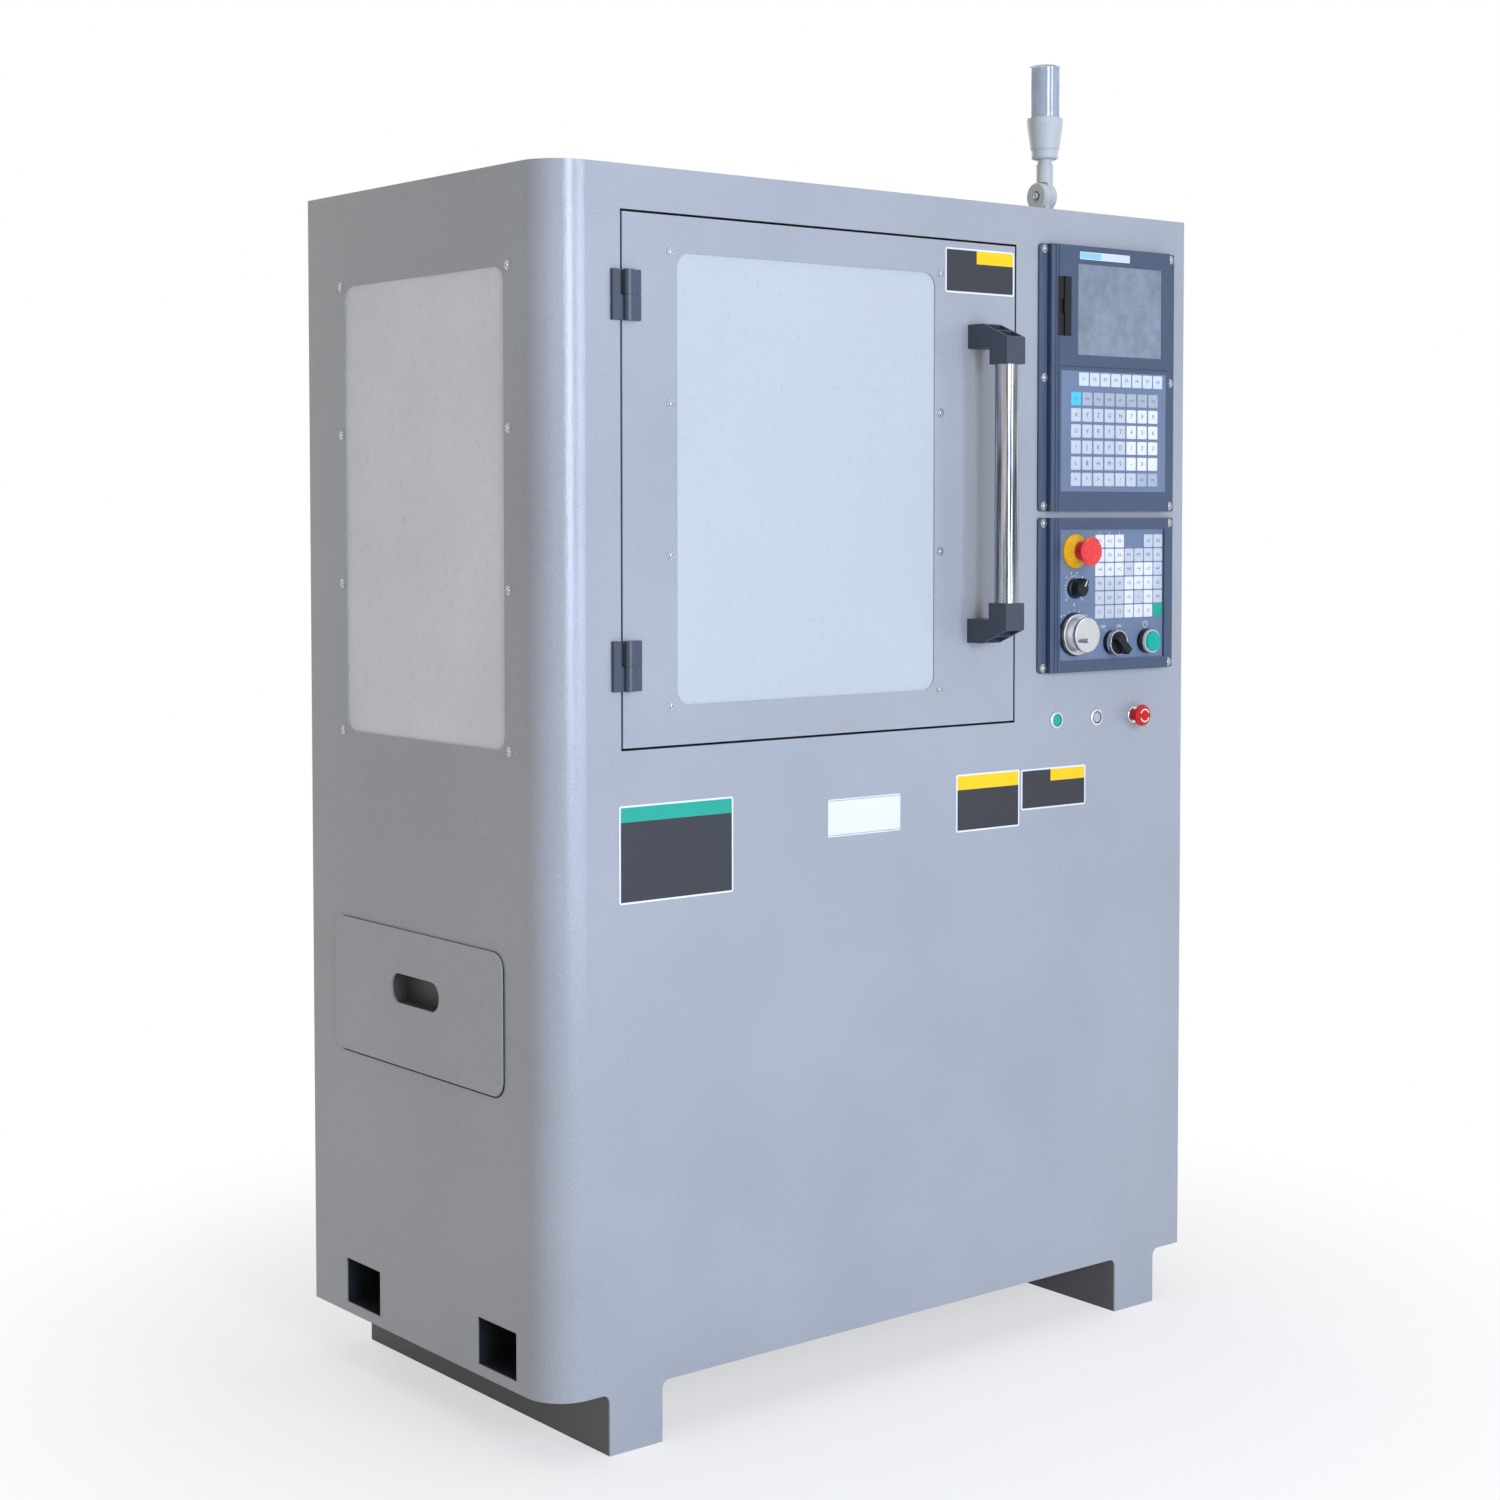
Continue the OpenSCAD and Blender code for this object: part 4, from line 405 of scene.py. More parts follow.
class Bench:
    """Operator tools that shape one mesh at a time, with plain sizes in millimetres."""

    @staticmethod
    def edit() -> None:
        """Go into edit mode."""
        bpy.ops.object.mode_set(mode="EDIT")

    @staticmethod
    def done() -> None:
        """Leave edit mode."""
        bpy.ops.object.mode_set(mode="OBJECT")

    @staticmethod
    def clear() -> None:
        """Leave edit mode and deselect every object."""
        if bpy.context.mode != "OBJECT":
            Bench.done()
        bpy.ops.object.select_all(action="DESELECT")

    @staticmethod
    def take(obj: Obj) -> None:
        """Make one object the only selected and active one.

        Args:
            obj: Mesh object.
        """
        Bench.clear()
        obj.select_set(True)
        bpy.context.view_layer.objects.active = obj

    @staticmethod
    def named(name: str) -> Obj:
        """Name the object that was just added.

        Args:
            name: Name of the object and its mesh.

        Returns:
            The object.
        """
        obj = bpy.context.active_object
        obj.name = name
        obj.data.name = name
        return obj

    @staticmethod
    def fix() -> None:
        """Apply the active object's place, turn and size to its mesh."""
        bpy.ops.object.transform_apply(location=True, rotation=True, scale=True)

    @staticmethod
    def block(name: str, low: Vector, high: Vector) -> Obj:
        """Add a box between two corners.

        Args:
            name: Name of the piece.
            low: Lowest corner.
            high: Highest corner.

        Returns:
            The box, with its place in its mesh.
        """
        Bench.clear()
        bpy.ops.mesh.primitive_cube_add(size=1, location=(low + high) / 2)
        obj = Bench.named(name)
        obj.scale = high - low
        Bench.fix()
        return obj

    @staticmethod
    @staticmethod
    def bar(name: str, radius: float, length: float, sides: int) -> Obj:
        """Add a round bar that stands on the origin.

        Args:
            name: Name of the piece.
            radius: Radius of the bar.
            length: Length along Z.
            sides: Number of sides.

        Returns:
            The bar.
        """
        Bench.clear()
        tall = length * MM
        bpy.ops.mesh.primitive_cylinder_add(
            vertices=sides, radius=radius * MM, depth=tall, location=(0, 0, tall / 2)
        )
        obj = Bench.named(name)
        Bench.fix()
        return obj

    @staticmethod
    def deselect(obj: Obj, kind: str) -> None:
        """Deselect a whole mesh before some of it is selected.

        Args:
            obj: Mesh object.
            kind: Blender's word for what is selected next, FACE or EDGE.
        """
        Bench.take(obj)
        Bench.edit()
        bpy.ops.mesh.select_mode(type=kind)
        bpy.ops.mesh.select_all(action="DESELECT")
        Bench.done()

    @staticmethod
    def faces(obj: Obj, test: Test) -> None:
        """Go into edit mode with the faces selected that pass a test.

        Args:
            obj: Mesh object.
            test: Takes a face's centre and normal.
        """
        Bench.deselect(obj, "FACE")
        for face in obj.data.polygons:
            face.select = test(face.center, face.normal)
        Bench.edit()

    @staticmethod
    def edges(obj: Obj, test: Test) -> None:
        """Go into edit mode with the edges selected that pass a test.

        Args:
            obj: Mesh object.
            test: Takes an edge's middle and direction.
        """
        Bench.deselect(obj, "EDGE")
        points = obj.data.vertices
        for edge in obj.data.edges:
            a, b = (points[i].co for i in edge.vertices)
            edge.select = test((a + b) / 2, (b - a).normalized())
        Bench.edit()

    @staticmethod
    def bevel(obj: Obj, width: float, segments: int, test: Test) -> None:
        """Round the edges that pass a test and leave edit mode.

        Args:
            obj: Mesh object.
            width: Width of the round.
            segments: Number of faces across it.
            test: Takes an edge's middle and direction.
        """
        Bench.edges(obj, test)
        bpy.ops.mesh.bevel(offset=width * MM, segments=segments, affect="EDGES")
        Bench.done()

    @staticmethod
    def inset(width: float) -> None:
        """Inset the selected faces."""
        bpy.ops.mesh.inset(thickness=width * MM)

    @staticmethod
    def pull(x: float, y: float, z: float) -> None:
        """Extrude the selected faces by a step along the axes."""
        bpy.ops.mesh.extrude_region_move(TRANSFORM_OT_translate={"value": (x * MM, y * MM, z * MM)})

    @staticmethod
    def outward() -> None:
        """Select the whole mesh in edit mode and turn its normals outwards."""
        bpy.ops.mesh.select_all(action="SELECT")
        bpy.ops.mesh.normals_make_consistent(inside=False)

    @staticmethod
    def mark_inside(obj: Obj, radius: float) -> None:
        """Give the second material to the faces above the origin that lie within a radius of Z.

        Args:
            obj: Mesh object on the origin.
            radius: Radius that all corners of a face lie within.
        """
        points = obj.data.vertices
        for face in obj.data.polygons:
            far = max(math.hypot(*points[i].co.xy) for i in face.vertices)
            if face.center.z > 0 and far < radius * MM:
                face.material_index = 1

    @staticmethod
    def ring(
        name: str,
        inner: float,
        outer: float,
        height: float,
        keep: Callable[[float], bool] | None = None,
        sides: int = 64,
    ) -> Obj:
        """Make a flat ring, or part of one, that stands on the origin.

        Args:
            name: Name of the piece.
            inner: Inner radius.
            outer: Outer radius.
            height: Height along Z.
            keep: Takes an angle in degrees and says whether the ring has a face there.
            sides: Number of sides.

        Returns:
            The ring.
        """
        Bench.clear()
        bpy.ops.mesh.primitive_circle_add(vertices=sides, radius=outer * MM)
        obj = Bench.named(name)
        Bench.edit()
        bpy.ops.mesh.select_all(action="SELECT")
        bpy.ops.mesh.extrude_edges_move()
        share = inner / outer
        bpy.ops.transform.resize(value=(share, share, share), center_override=(0, 0, 0))
        if keep:
            Bench.faces(obj, lambda mid, _: not keep(math.degrees(math.atan2(mid.y, mid.x)) % 360))
            bpy.ops.mesh.delete(type="FACE")
        Bench.outward()
        Bench.pull(0, 0, height)
        Bench.outward()
        Bench.done()
        return obj

    @staticmethod
    def set_down(obj: Obj, place: Vector, turn: Triple = STILL) -> None:
        """Turn a piece made on the origin, move it to its place and apply both.

        Args:
            obj: Mesh object.
            place: Place in the shared frame.
            turn: Turn about each axis in radians.
        """
        Bench.take(obj)
        obj.rotation_euler = turn
        obj.location = place
        Bench.fix()

    @staticmethod
    def copy(obj: Obj) -> Obj:
        """Copy an object together with its mesh and make the copy active.

        Args:
            obj: Mesh object.

        Returns:
            The copy.
        """
        Bench.take(obj)
        bpy.ops.object.duplicate(linked=False)
        return bpy.context.active_object

    @staticmethod
    def join(name: str, parts: list[Obj]) -> Obj:
        """Join meshes into one piece.

        Args:
            name: Name of the piece.
            parts: Mesh objects with their place in their mesh.

        Returns:
            The joined piece.
        """
        Bench.take(parts[0])
        for part in parts:
            part.select_set(True)
        if len(parts) > 1:
            bpy.ops.object.join()
        return Bench.named(name)

    @staticmethod
    def letters(words: str, size: float, depth: float) -> Obj:
        """Make a word as a thin mesh around the origin.

        Args:
            words: Letters, digits or signs.
            size: Size of the letters.
            depth: Thickness of the letters.

        Returns:
            The mesh, flat on the XY plane.
        """
        Bench.clear()
        bpy.ops.object.text_add()
        text = bpy.context.active_object.data
        text.body = words
        text.size = size * MM
        text.extrude = depth * MM / 2
        text.resolution_u = 2
        text.align_x = "CENTER"
        text.align_y = "CENTER"
        bpy.ops.object.convert(target="MESH")
        return bpy.context.active_object

    @staticmethod
    def hand_over(obj: Obj, body: str, slot: str, *finishes: Finish) -> None:
        """Smooth, paint and mount a finished piece, and report it.

        Args:
            obj: Mesh object.
            body: Body that the piece rides on.
            slot: Slot of the record for the piece; not used.
            finishes: Finishes in the order of the mesh's material numbers.
        """
        Bench.take(obj)
        bpy.ops.object.shade_smooth_by_angle(angle=math.radians(35))
        SHOP.coat(obj, *finishes)
        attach(obj, body)
        LOG.info("%s on %s, %d faces", obj.name, body, len(obj.data.polygons))


@dataclass
class Plate:
    """A printed plate with a coloured band and a plain field, in millimetres."""

    name: str
    left: float
    right: float
    low: float
    high: float
    band: Finish
    field: Finish
    band_share: float = 0.25
    band_from: float = 0.0
    border: float = 2.2
    depth: float = 0.0
    body: str = "cabinet"
    thick: float = 0.5
    corner: float = 3.0

    def build(self) -> None:
        """Model the plate, split its face into band and field, and mount it."""
        low = at(self.left, self.depth - self.thick, self.low)
        high = at(self.right, self.depth, self.high)
        obj = Bench.block(self.name, low, high)
        Bench.bevel(obj, self.corner, 4, lambda mid, run: abs(run.y) > SQUARE)
        Bench.faces(obj, lambda mid, normal: normal.y < -SQUARE)
        Bench.inset(self.border)
        seam_z = at(0, 0, self.high - self.band_share * (self.high - self.low)).z
        seam_x = at(self.left + self.band_from * (self.right - self.left), 0, 0).x
        bpy.ops.mesh.bisect(plane_co=(0, 0, seam_z), plane_no=(0, 0, 1))
        if self.band_from:
            Bench.faces(obj, lambda mid, normal: normal.y < -SQUARE and mid.z > seam_z)
            bpy.ops.mesh.bisect(plane_co=(seam_x, 0, 0), plane_no=(1, 0, 0))
        Bench.done()
        rim = self.border * MM * 0.9
        for face in obj.data.polygons:
            mid = face.center
            inside = low.x + rim < mid.x < high.x - rim and low.z + rim < mid.z < high.z - rim
            if face.normal.y < -SQUARE and inside:
                face.material_index = 1 if mid.z > seam_z and mid.x > seam_x else 2
        Bench.hand_over(obj, self.body, "key_sheet", INK_WHITE, self.band, self.field)


class KeyShade(Enum):
    """Ink of a membrane key. The key rows use its first letter."""

    SOFT = INK_SOFT
    LIGHT = INK_LIGHT
    WHITE = INK_WHITE
    GREY = INK_GREY
    BLUE = INK_BLUE
    TEAL = INK_TEAL


SHADES = {shade.name[0]: shade for shade in KeyShade}


@dataclass(frozen=True)
class KeyRow:
    """A row of membrane keys, measured on its sheet in millimetres, with a dot where a key is missing."""

    first: float
    top: float
    pitch: float
    shades: str
    legends: tuple[str, ...]


@dataclass
class KeySheet:
    """Printed keys that lie over the embossed keys of a sheet, in millimetres."""

    name: str
    left: float
    top: float
    face: float
    key_w: float
    key_h: float
    rows: tuple[KeyRow, ...]
    lift: float = 0.02
    margin: float = 0.25
    rise: float = 0.75
    corner: float = 1.2
    edge: float = 0.25
    ink: float = 0.08
    letter_sizes: Triple = (8.5, 6.6, 4.6)

    def cap(self) -> Obj:
        """Model one key on the origin, with round corners and a broken front edge.

        Returns:
            The key.
        """
        half_w = (self.key_w / 2 + self.margin) * MM
        half_h = (self.key_h / 2 + self.margin) * MM
        front = -self.rise * MM
        obj = Bench.block(f"{self.name}_cap", Vector((-half_w, front, -half_h)), Vector((half_w, 0, half_h)))
        Bench.bevel(obj, self.corner, 3, lambda mid, run: abs(run.y) > SQUARE)
        Bench.bevel(obj, self.edge, 2, lambda mid, run: mid.y < front * 0.9)
        return obj

    def build(self) -> None:
        """Print every key and its legend, and mount them by shade."""
        cap = self.cap()
        keys: dict[KeyShade, list[Obj]] = {}
        marks: list[Obj] = []
        for row in self.rows:
            for column, letter in enumerate(row.shades):
                if letter == ".":
                    continue
                middle = at(
                    self.left + row.first + column * row.pitch + self.key_w / 2,
                    self.face - self.lift,
                    self.top - row.top - self.key_h / 2,
                )
                key = Bench.copy(cap)
                Bench.set_down(key, middle)
                keys.setdefault(SHADES[letter], []).append(key)
                legend = row.legends[column]
                if legend:
                    mark = Bench.letters(legend, self.letter_sizes[len(legend) - 1], self.ink)
                    Bench.set_down(mark, middle - Vector((0, self.rise * MM, 0)), OUT)
                    marks.append(mark)
        bpy.data.objects.remove(cap)
        for shade, made in keys.items():
            piece = Bench.join(f"{self.name}_{shade.name.lower()}_keys", made)
            Bench.hand_over(piece, "cabinet", "key_sheet", shade.value)
        legends = Bench.join(f"{self.name}_legends", marks)
        Bench.hand_over(legends, "cabinet", "key_sheet", INK_LEGEND)


@dataclass
class DisplayPanel:
    """Keys, pale strip and sockets of the display panel, in millimetres."""

    left: float = 760.5
    low: float = 1080.5
    face: float = -13.0
    sheet_in: float = 31.0
    sheet_top: float = 183.0
    key_w: float = 17.4
    key_h: float = 16.7
    upper_first: float = 32.4
    upper_top: float = 2.2
    upper_pitch: float = 20.2
    first: float = 18.0
    top: float = 27.8
    pitch: float = 21.0
    strip_left: float = 64.0
    strip_right: float = 158.0
    strip_low: float = 1408.6
    strip_high: float = 1418.4
    port_left: float = 23.5
    port_low: float = 228.0
    port_w: float = 25.0
    port_h: float = 76.0
    port_floor: float = 1.0
    socket_w: float = 7.0
    socket_h: float = 15.0
    socket_out: float = 4.0
    socket_deep: float = 3.0
    socket_wall: float = 0.8

    def build(self) -> None:
        """Make the printed keys, the pale strip and the sockets."""
        upper = tuple(f"F{number}" for number in range(1, 9))
        rows = [KeyRow(self.upper_first, self.upper_top, self.upper_pitch, "SSSSSSSS", upper)]
        prints = (
            ("BGGGGGGG", ("RST", "POS", "PRG", "OFS", "SET", "ALM", "GPH", "SYS")),
            ("LLLLLWWW", tuple("XYZGN789")),
            ("LLLLLWWW", tuple("UVRFT456")),
            ("LLLLLWWW", tuple("IJKPD123")),
            ("LLLLLWWW", tuple("LBHMS-0.")),
            ("LLLLLLGG", ("<", "^", ">", "v", "/", "*", "INS", "DEL")),
        )
        for index, line in enumerate(prints):
            rows.append(KeyRow(self.first, self.top + self.pitch * index, self.pitch, *line))
        sheet = (self.left + self.sheet_in, self.low + self.sheet_top, self.face)
        KeySheet("display", *sheet, self.key_w, self.key_h, tuple(rows)).build()
        ends = (self.left + self.strip_left, self.left + self.strip_right, self.strip_low, self.strip_high)
        Plate(
            "display_strip", *ends, INK_SOFT, INK_SKY, 1.0, 0.42, border=0.8, depth=self.face, corner=0.8
        ).build()
        self.sockets()

    def sockets(self) -> None:
        """Model one socket behind the port cover and set two of them in the pocket."""
        half_w, half_h = self.socket_w / 2 * MM, self.socket_h / 2 * MM
        one = Bench.block(
            "port_socket", Vector((-half_w, -self.socket_out * MM, -half_h)), Vector((half_w, 0, half_h))
        )
        Bench.faces(one, lambda mid, normal: normal.y < -SQUARE)
        Bench.inset(self.socket_wall)
        Bench.pull(0, self.socket_deep, 0)
        Bench.done()
        made = [one, Bench.copy(one)]
        middle = self.left + self.port_left + self.port_w / 2
        for piece, share in zip(made, (0.3, 0.7), strict=True):
            Bench.set_down(piece, at(middle, self.port_floor, self.low + self.port_low + self.port_h * share))
        Bench.hand_over(Bench.join("port_sockets", made), "cabinet", "bright_collar", CHROME)


@dataclass
class Bezel:
    """A turned ring round a switch, in millimetres."""

    name: str
    middle: Vector
    inner: float
    outer: float
    height: float
    edge: float
    segments: int

    def build(self, slot: str, finish: Finish) -> None:
        """Model the ring, break its front edges and mount it.

        Args:
            slot: Slot of the record that the ring takes its finish from.
            finish: Finish of the ring.
        """
        obj = Bench.ring(self.name, self.inner, self.outer, self.height)
        top = (self.height - 0.1) * MM
        Bench.bevel(obj, self.edge, self.segments, lambda mid, run: mid.z > top and abs(run.z) < 0.1)
        Bench.set_down(obj, self.middle, OUT)
        Bench.hand_over(obj, "cabinet", slot, finish)


@dataclass
class OperatorPanel:
    """Keys, dials and switch trims of the operator panel, in millimetres."""

    left: float = 760.5
    low: float = 870.0
    face: float = -9.8
    sheet_in: float = 31.0
    sheet_top: float = 187.0
    key_w: float = 16.3
    key_h: float = 16.6
    first: float = 68.0
    top: float = 7.5
    pitch: float = 18.7
    dots_in: float = 107.2
    dots_rise: float = 182.5
    knob_in: float = 59.9
    override_rise: float = 109.7
    override_out: float = 18.02
    wheel_rise: float = 49.5
    wheel_out: float = 9.31
    dial_r: float = 25.4
    divisions: int = 50
    selector_in: float = 131.0
    start_in: float = 196.0
    switch_rise: float = 37.0
    switch_h: float = 12.0
    lift: float = 0.01
    ink: float = 0.1
    letter: float = 6.0

    def build(self) -> None:
        """Make the printed keys, the scales round the knobs and the trims of the switches."""
        prints = (
            ("WWW..LL", ("K1", "K2", "K3", "", "", "A1", "A2")),
            ("WWWLLLL", ("K4", "K5", "K6", "M1", "M2", "M3", "A3")),
            ("WWWLWWL", ("+A", "+B", "+C", "M4", "+4", "+Z", "A4")),
            ("LLLWWWL", ("F0", "25", "50", "+X", "+Y", "-Y", "A5")),
            ("LLLWLWL", ("S-", "SO", "S+", "-X", "~", "+X", "A6")),
            ("LLLWWWT", ("C1", "C2", "C3", "-4", "-Z", "-C", "")),
        )
        rows = tuple(
            KeyRow(self.first, self.top + self.pitch * index, self.pitch, *line)
            for index, line in enumerate(prints)
        )
        sheet = (self.left + self.sheet_in, self.low + self.sheet_top, self.face)
        KeySheet("operator", *sheet, self.key_w, self.key_h, rows).build()
        self.scales()
        self.wheel_marks()
        height = self.low + self.switch_rise
        selector = at(self.left + self.selector_in, self.face - self.switch_h * 0.6, height)
        Bezel("selector_bezel", selector, 15.06, 16.4, 6.9, 0.5, 2).build("bright_collar", CHROME)
        start = at(self.left + self.start_in, self.face - self.switch_h * 0.8, height)
        Bezel("start_bezel", start, 13.12, 15.5, 4.4, 0.6, 3).build("lamp_white", WHITE_ABS)

    def strokes(
        self, middle: Vector, radius: float, turns: Iterable[float], size: tuple[float, float]
    ) -> list[Obj]:
        """Model one printed stroke and copy it to places on a circle round a knob.

        Args:
            middle: Centre of the circle in the shared frame.
            radius: Radius of a stroke's middle.
            turns: Angle of each stroke from straight up, clockwise, in degrees.
            size: Width and length of a stroke.

        Returns:
            The strokes.
        """
        half = Vector((size[0] / 2, 0, size[1] / 2)) * MM
        one = Bench.block("stroke", Vector((-half.x, -self.ink * MM, -half.z)), Vector((half.x, 0, half.z)))
        Bench.bevel(one, min(size) * 0.3, 2, lambda mid, run: abs(run.y) > SQUARE)
        made = []
        for turn in turns:
            angle = math.radians(turn)
            away = Vector((math.sin(angle), 0, math.cos(angle))) * radius * MM
            made.append(Bench.copy(one))
            Bench.set_down(made[-1], middle + away, (0, angle, 0))
        bpy.data.objects.remove(one)
        return made

    def scales(self) -> None:
        """Print the scales and words round the knobs, the dots over the keys and the start sign."""
        front = self.face - self.lift
        knob_x = self.left + self.knob_in
        override = at(knob_x, front, self.low + self.override_rise)
        wheel = at(knob_x, front, self.low + self.wheel_rise)
        selector = at(self.left + self.selector_in, front, self.low + self.switch_rise)
        start = at(self.left + self.start_in, front, self.low + self.switch_rise)
        made = self.strokes(override, 16.5, range(-135, 136, 15), (0.9, 3.0))
        made += self.strokes(override, 21.0, (-135, -45, -15, 15, 45, 135), (1.8, 1.8))
        made += self.strokes(wheel, 31.2, (-36, -18, 0, 18, 36), (1.0, 2.6))
        made += self.strokes(wheel, 34.0, (-44, 44), (3.4, 1.0))
        made += self.strokes(selector, 19.5, (-35, 35), (1.0, 2.4))
        words = (("OFF", selector, -16.0, 21.0), ("ON", selector, 14.0, 21.0), ("%", override, 0.0, -21.5))
        for word, middle, x, z in words:
            made.append(Bench.letters(word, self.letter, self.ink))
            Bench.set_down(made[-1], middle + Vector((x, 0, z)) * MM, OUT)
        for index in range(3):
            dot = at(self.left + self.dots_in + self.pitch * index, front, self.low + self.dots_rise)
            made += self.strokes(dot, 0.0, (0.0,), (1.6, 1.6))
        arc = Bench.ring("start_arc", 4.0, 4.8, self.ink, lambda angle: not 70 < angle < 110, 48)
        Bench.set_down(arc, start + Vector((0, 0, 22.5 * MM)), OUT)
        made += [arc, *self.strokes(start, 25.0, (0.0,), (0.8, 5.0))]
        Bench.hand_over(Bench.join("operator_scales", made), "cabinet", "key_sheet", INK_WHITE)

    def wheel_marks(self) -> None:
        """Engrave the handwheel's dial, and print the pointer of the override knob."""
        knob_x = self.left + self.knob_in
        dial = at(knob_x, self.face - self.wheel_out, self.low + self.wheel_rise)
        angles = [index * 360 / self.divisions for index in range(self.divisions)]
        fine = [angle for index, angle in enumerate(angles) if index % 5]
        made = []
        for turns, tall in ((angles[::5], 3.4), (fine, 2.2)):
            made += self.strokes(dial, self.dial_r - tall / 2, turns, (0.5, tall))
        Bench.hand_over(Bench.join("wheel_divisions", made), "wheel", "black_plastic", INK_SLATE)
        tip = at(knob_x, self.face - self.override_out, self.low + self.override_rise)
        pointer = Bench.join("override_pointer", self.strokes(tip, 7.5, (30.0,), (1.6, 8.0)))
        Bench.hand_over(pointer, "override", "key_sheet", INK_WHITE)


@dataclass
class PowerRow:
    """Collars and buttons of the power row, and two white arcs on the small emergency stop's head."""

    height: float = 807.7
    on_x: float = 797.0
    off_x: float = 872.0
    stop_x: float = 943.5
    stop_out: float = 22.4
    bore: float = 8.05
    collar_r: float = 11.3
    collar_h: float = 3.4
    collar_round: float = 1.6
    barrel_r: float = 9.4
    barrel_l: float = 24.0
    button_l: float = 9.0
    button_gap: float = 0.05
    button_in: float = 0.4

    def build(self) -> None:
        """Make the collars, the buttons and the white arcs."""
        self.collars()
        self.button("power_on", self.on_x, ((0.9, -0.35),), "green_plastic", LENS_GREEN)
        rings = ((1.3, -0.5), (1.0, 0.5), (2.0, -0.4), (1.2, 0.4))
        self.button("power_off", self.off_x, rings, "grey_plastic", LENS_GREY)
        white_arcs = Bench.ring("stop_twist_marks", 7.4, 9.0, 0.3, lambda angle: 20 < angle % 180 < 160)
        Bench.set_down(white_arcs, at(self.stop_x, -self.stop_out, self.height), OUT)
        Bench.hand_over(white_arcs, "stop_cap", "lamp_white", INK_WHITE)

    def collars(self) -> None:
        """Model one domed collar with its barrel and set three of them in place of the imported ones."""
        collar = Bench.ring("collar", self.bore, self.collar_r, self.collar_h)
        top, rim = self.collar_h * MM * 0.9, (self.collar_r - 0.5) * MM
        Bench.bevel(
            collar, self.collar_round, 4, lambda mid, run: mid.z > top and math.hypot(mid.x, mid.y) > rim
        )
        barrel = Bench.ring("barrel", self.bore, self.barrel_r, self.barrel_l)
        Bench.set_down(barrel, Vector((0, 0, -self.barrel_l * MM)))
        collar = Bench.join("collar", [collar, barrel])
        made = [collar, Bench.copy(collar), Bench.copy(collar)]
        for piece, x in zip(made, (self.on_x, self.off_x, self.stop_x), strict=True):
            Bench.set_down(piece, at(x, 0, self.height), OUT)
        row = Bench.join("power_collar_row", made)
        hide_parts("power_collars")
        Bench.hand_over(row, "cabinet", "bright_collar", CHROME)

    def button(
        self, body: str, x: float, steps: tuple[tuple[float, float], ...], slot: str, finish: Finish
    ) -> None:
        """Model a flush button with stepped rings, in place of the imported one.

        Args:
            body: Body that the button rides on.
            x: Distance from the cabinet's left side.
            steps: Width of each ring and the step after it, from the edge inwards.
            slot: Slot of the record that the button takes its finish from.
            finish: Finish inside the dark outer ring.
        """
        obj = Bench.bar(f"{body}_face", self.bore - self.button_gap, self.button_l, 48)
        Bench.faces(obj, lambda mid, normal: normal.z > SQUARE)
        for width, rise in steps:
            Bench.inset(width)
            Bench.pull(0, 0, rise)
        Bench.done()
        Bench.mark_inside(obj, self.bore - steps[0][0] + 0.1)
        Bench.set_down(obj, at(x, self.button_l - self.collar_h + self.button_in, self.height), OUT)
        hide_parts(f"{body}_button")
        Bench.hand_over(obj, body, slot, BLACK_OXIDE_AND_PAINTED_SHADE, finish)


@dataclass
class ShadeFrame:
    """Near-black frame of painted shade: a dark line round a plate or in a gap, where shade falls."""

    name: str
    body: str
    low: Vector
    high: Vector
    axis: int
    width: float
    corner: float = 0.0

    def build(self) -> None:
        """Model a frame that is open along its axis, and mount it."""
        obj = Bench.block(self.name, self.low, self.high)
        if self.corner:
            Bench.bevel(obj, self.corner, 10, lambda mid, run: abs(run[self.axis]) > SQUARE)
        Bench.faces(obj, lambda mid, normal: abs(normal[self.axis]) > SQUARE)
        Bench.inset(self.width)
        bpy.ops.mesh.bridge_edge_loops()
        Bench.done()
        # The frame is painted near-black as shade.
        Bench.hand_over(obj, self.body, "black_plastic", BLACK_OXIDE_AND_PAINTED_SHADE)


@dataclass
class DrawerTrim:
    """Near-black frame round the drawer plate, a painted shadow line that shows mostly below the plate, and the
    pocket behind its finger slot, in millimetres.
    """

    seal_front: float = 93.7
    seal_back: float = 477.3
    seal_low: float = 405.4
    shade_frame_high: float = 575.2
    seal_out: float = 0.8
    seal_w: float = 1.35
    shade_frame_corner: float = 21.3
    pocket_front: float = 226.5
    pocket_back: float = 344.5
    pocket_low: float = 481.5
    pocket_high: float = 524.5
    pocket_deep: float = 22.9
    pocket_wall: float = 1.5
    gap: float = 0.1

    def build(self) -> None:
        """Make the painted-shadow frame, then sink a block behind the slot and mount it as the pocket."""
        # The frame reaches lower below the plate than above it, so its dark line is a painted shadow under the
        # plate.
        low = at(-self.seal_out, self.seal_front, self.seal_low)
        high = at(-self.gap / 2, self.seal_back, self.shade_frame_high)
        ShadeFrame("drawer_seal", "drawer", low, high, 0, self.seal_w, self.shade_frame_corner).build()
        low = at(self.gap, self.pocket_front, self.pocket_low)
        high = at(self.gap + self.pocket_deep, self.pocket_back, self.pocket_high)
        obj = Bench.block("finger_pocket", low, high)
        Bench.faces(obj, lambda mid, normal: normal.x < -SQUARE)
        Bench.inset(self.pocket_wall)
        Bench.pull(self.pocket_deep - self.pocket_wall, 0, 0)
        Bench.done()
        Bench.hand_over(obj, "drawer", "frame_paint", FRAME_ENAMEL)


@dataclass
class DoorShadeFrame:
    """Near-black frame in the gap between the door and the front sheet, as painted shade in the gap, in
    millimetres.
    """

    gap: float = 2.75
    behind: float = 0.8
    width: float = 0.7

    def build(self) -> None:
        """Make the frame a little larger than the door and behind its face."""
        low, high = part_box("door_panel")
        room = Vector((self.gap, -self.behind, self.gap)) * MM
        ShadeFrame("door_seal", "cabinet", low - room, high + room, 1, self.width).build()


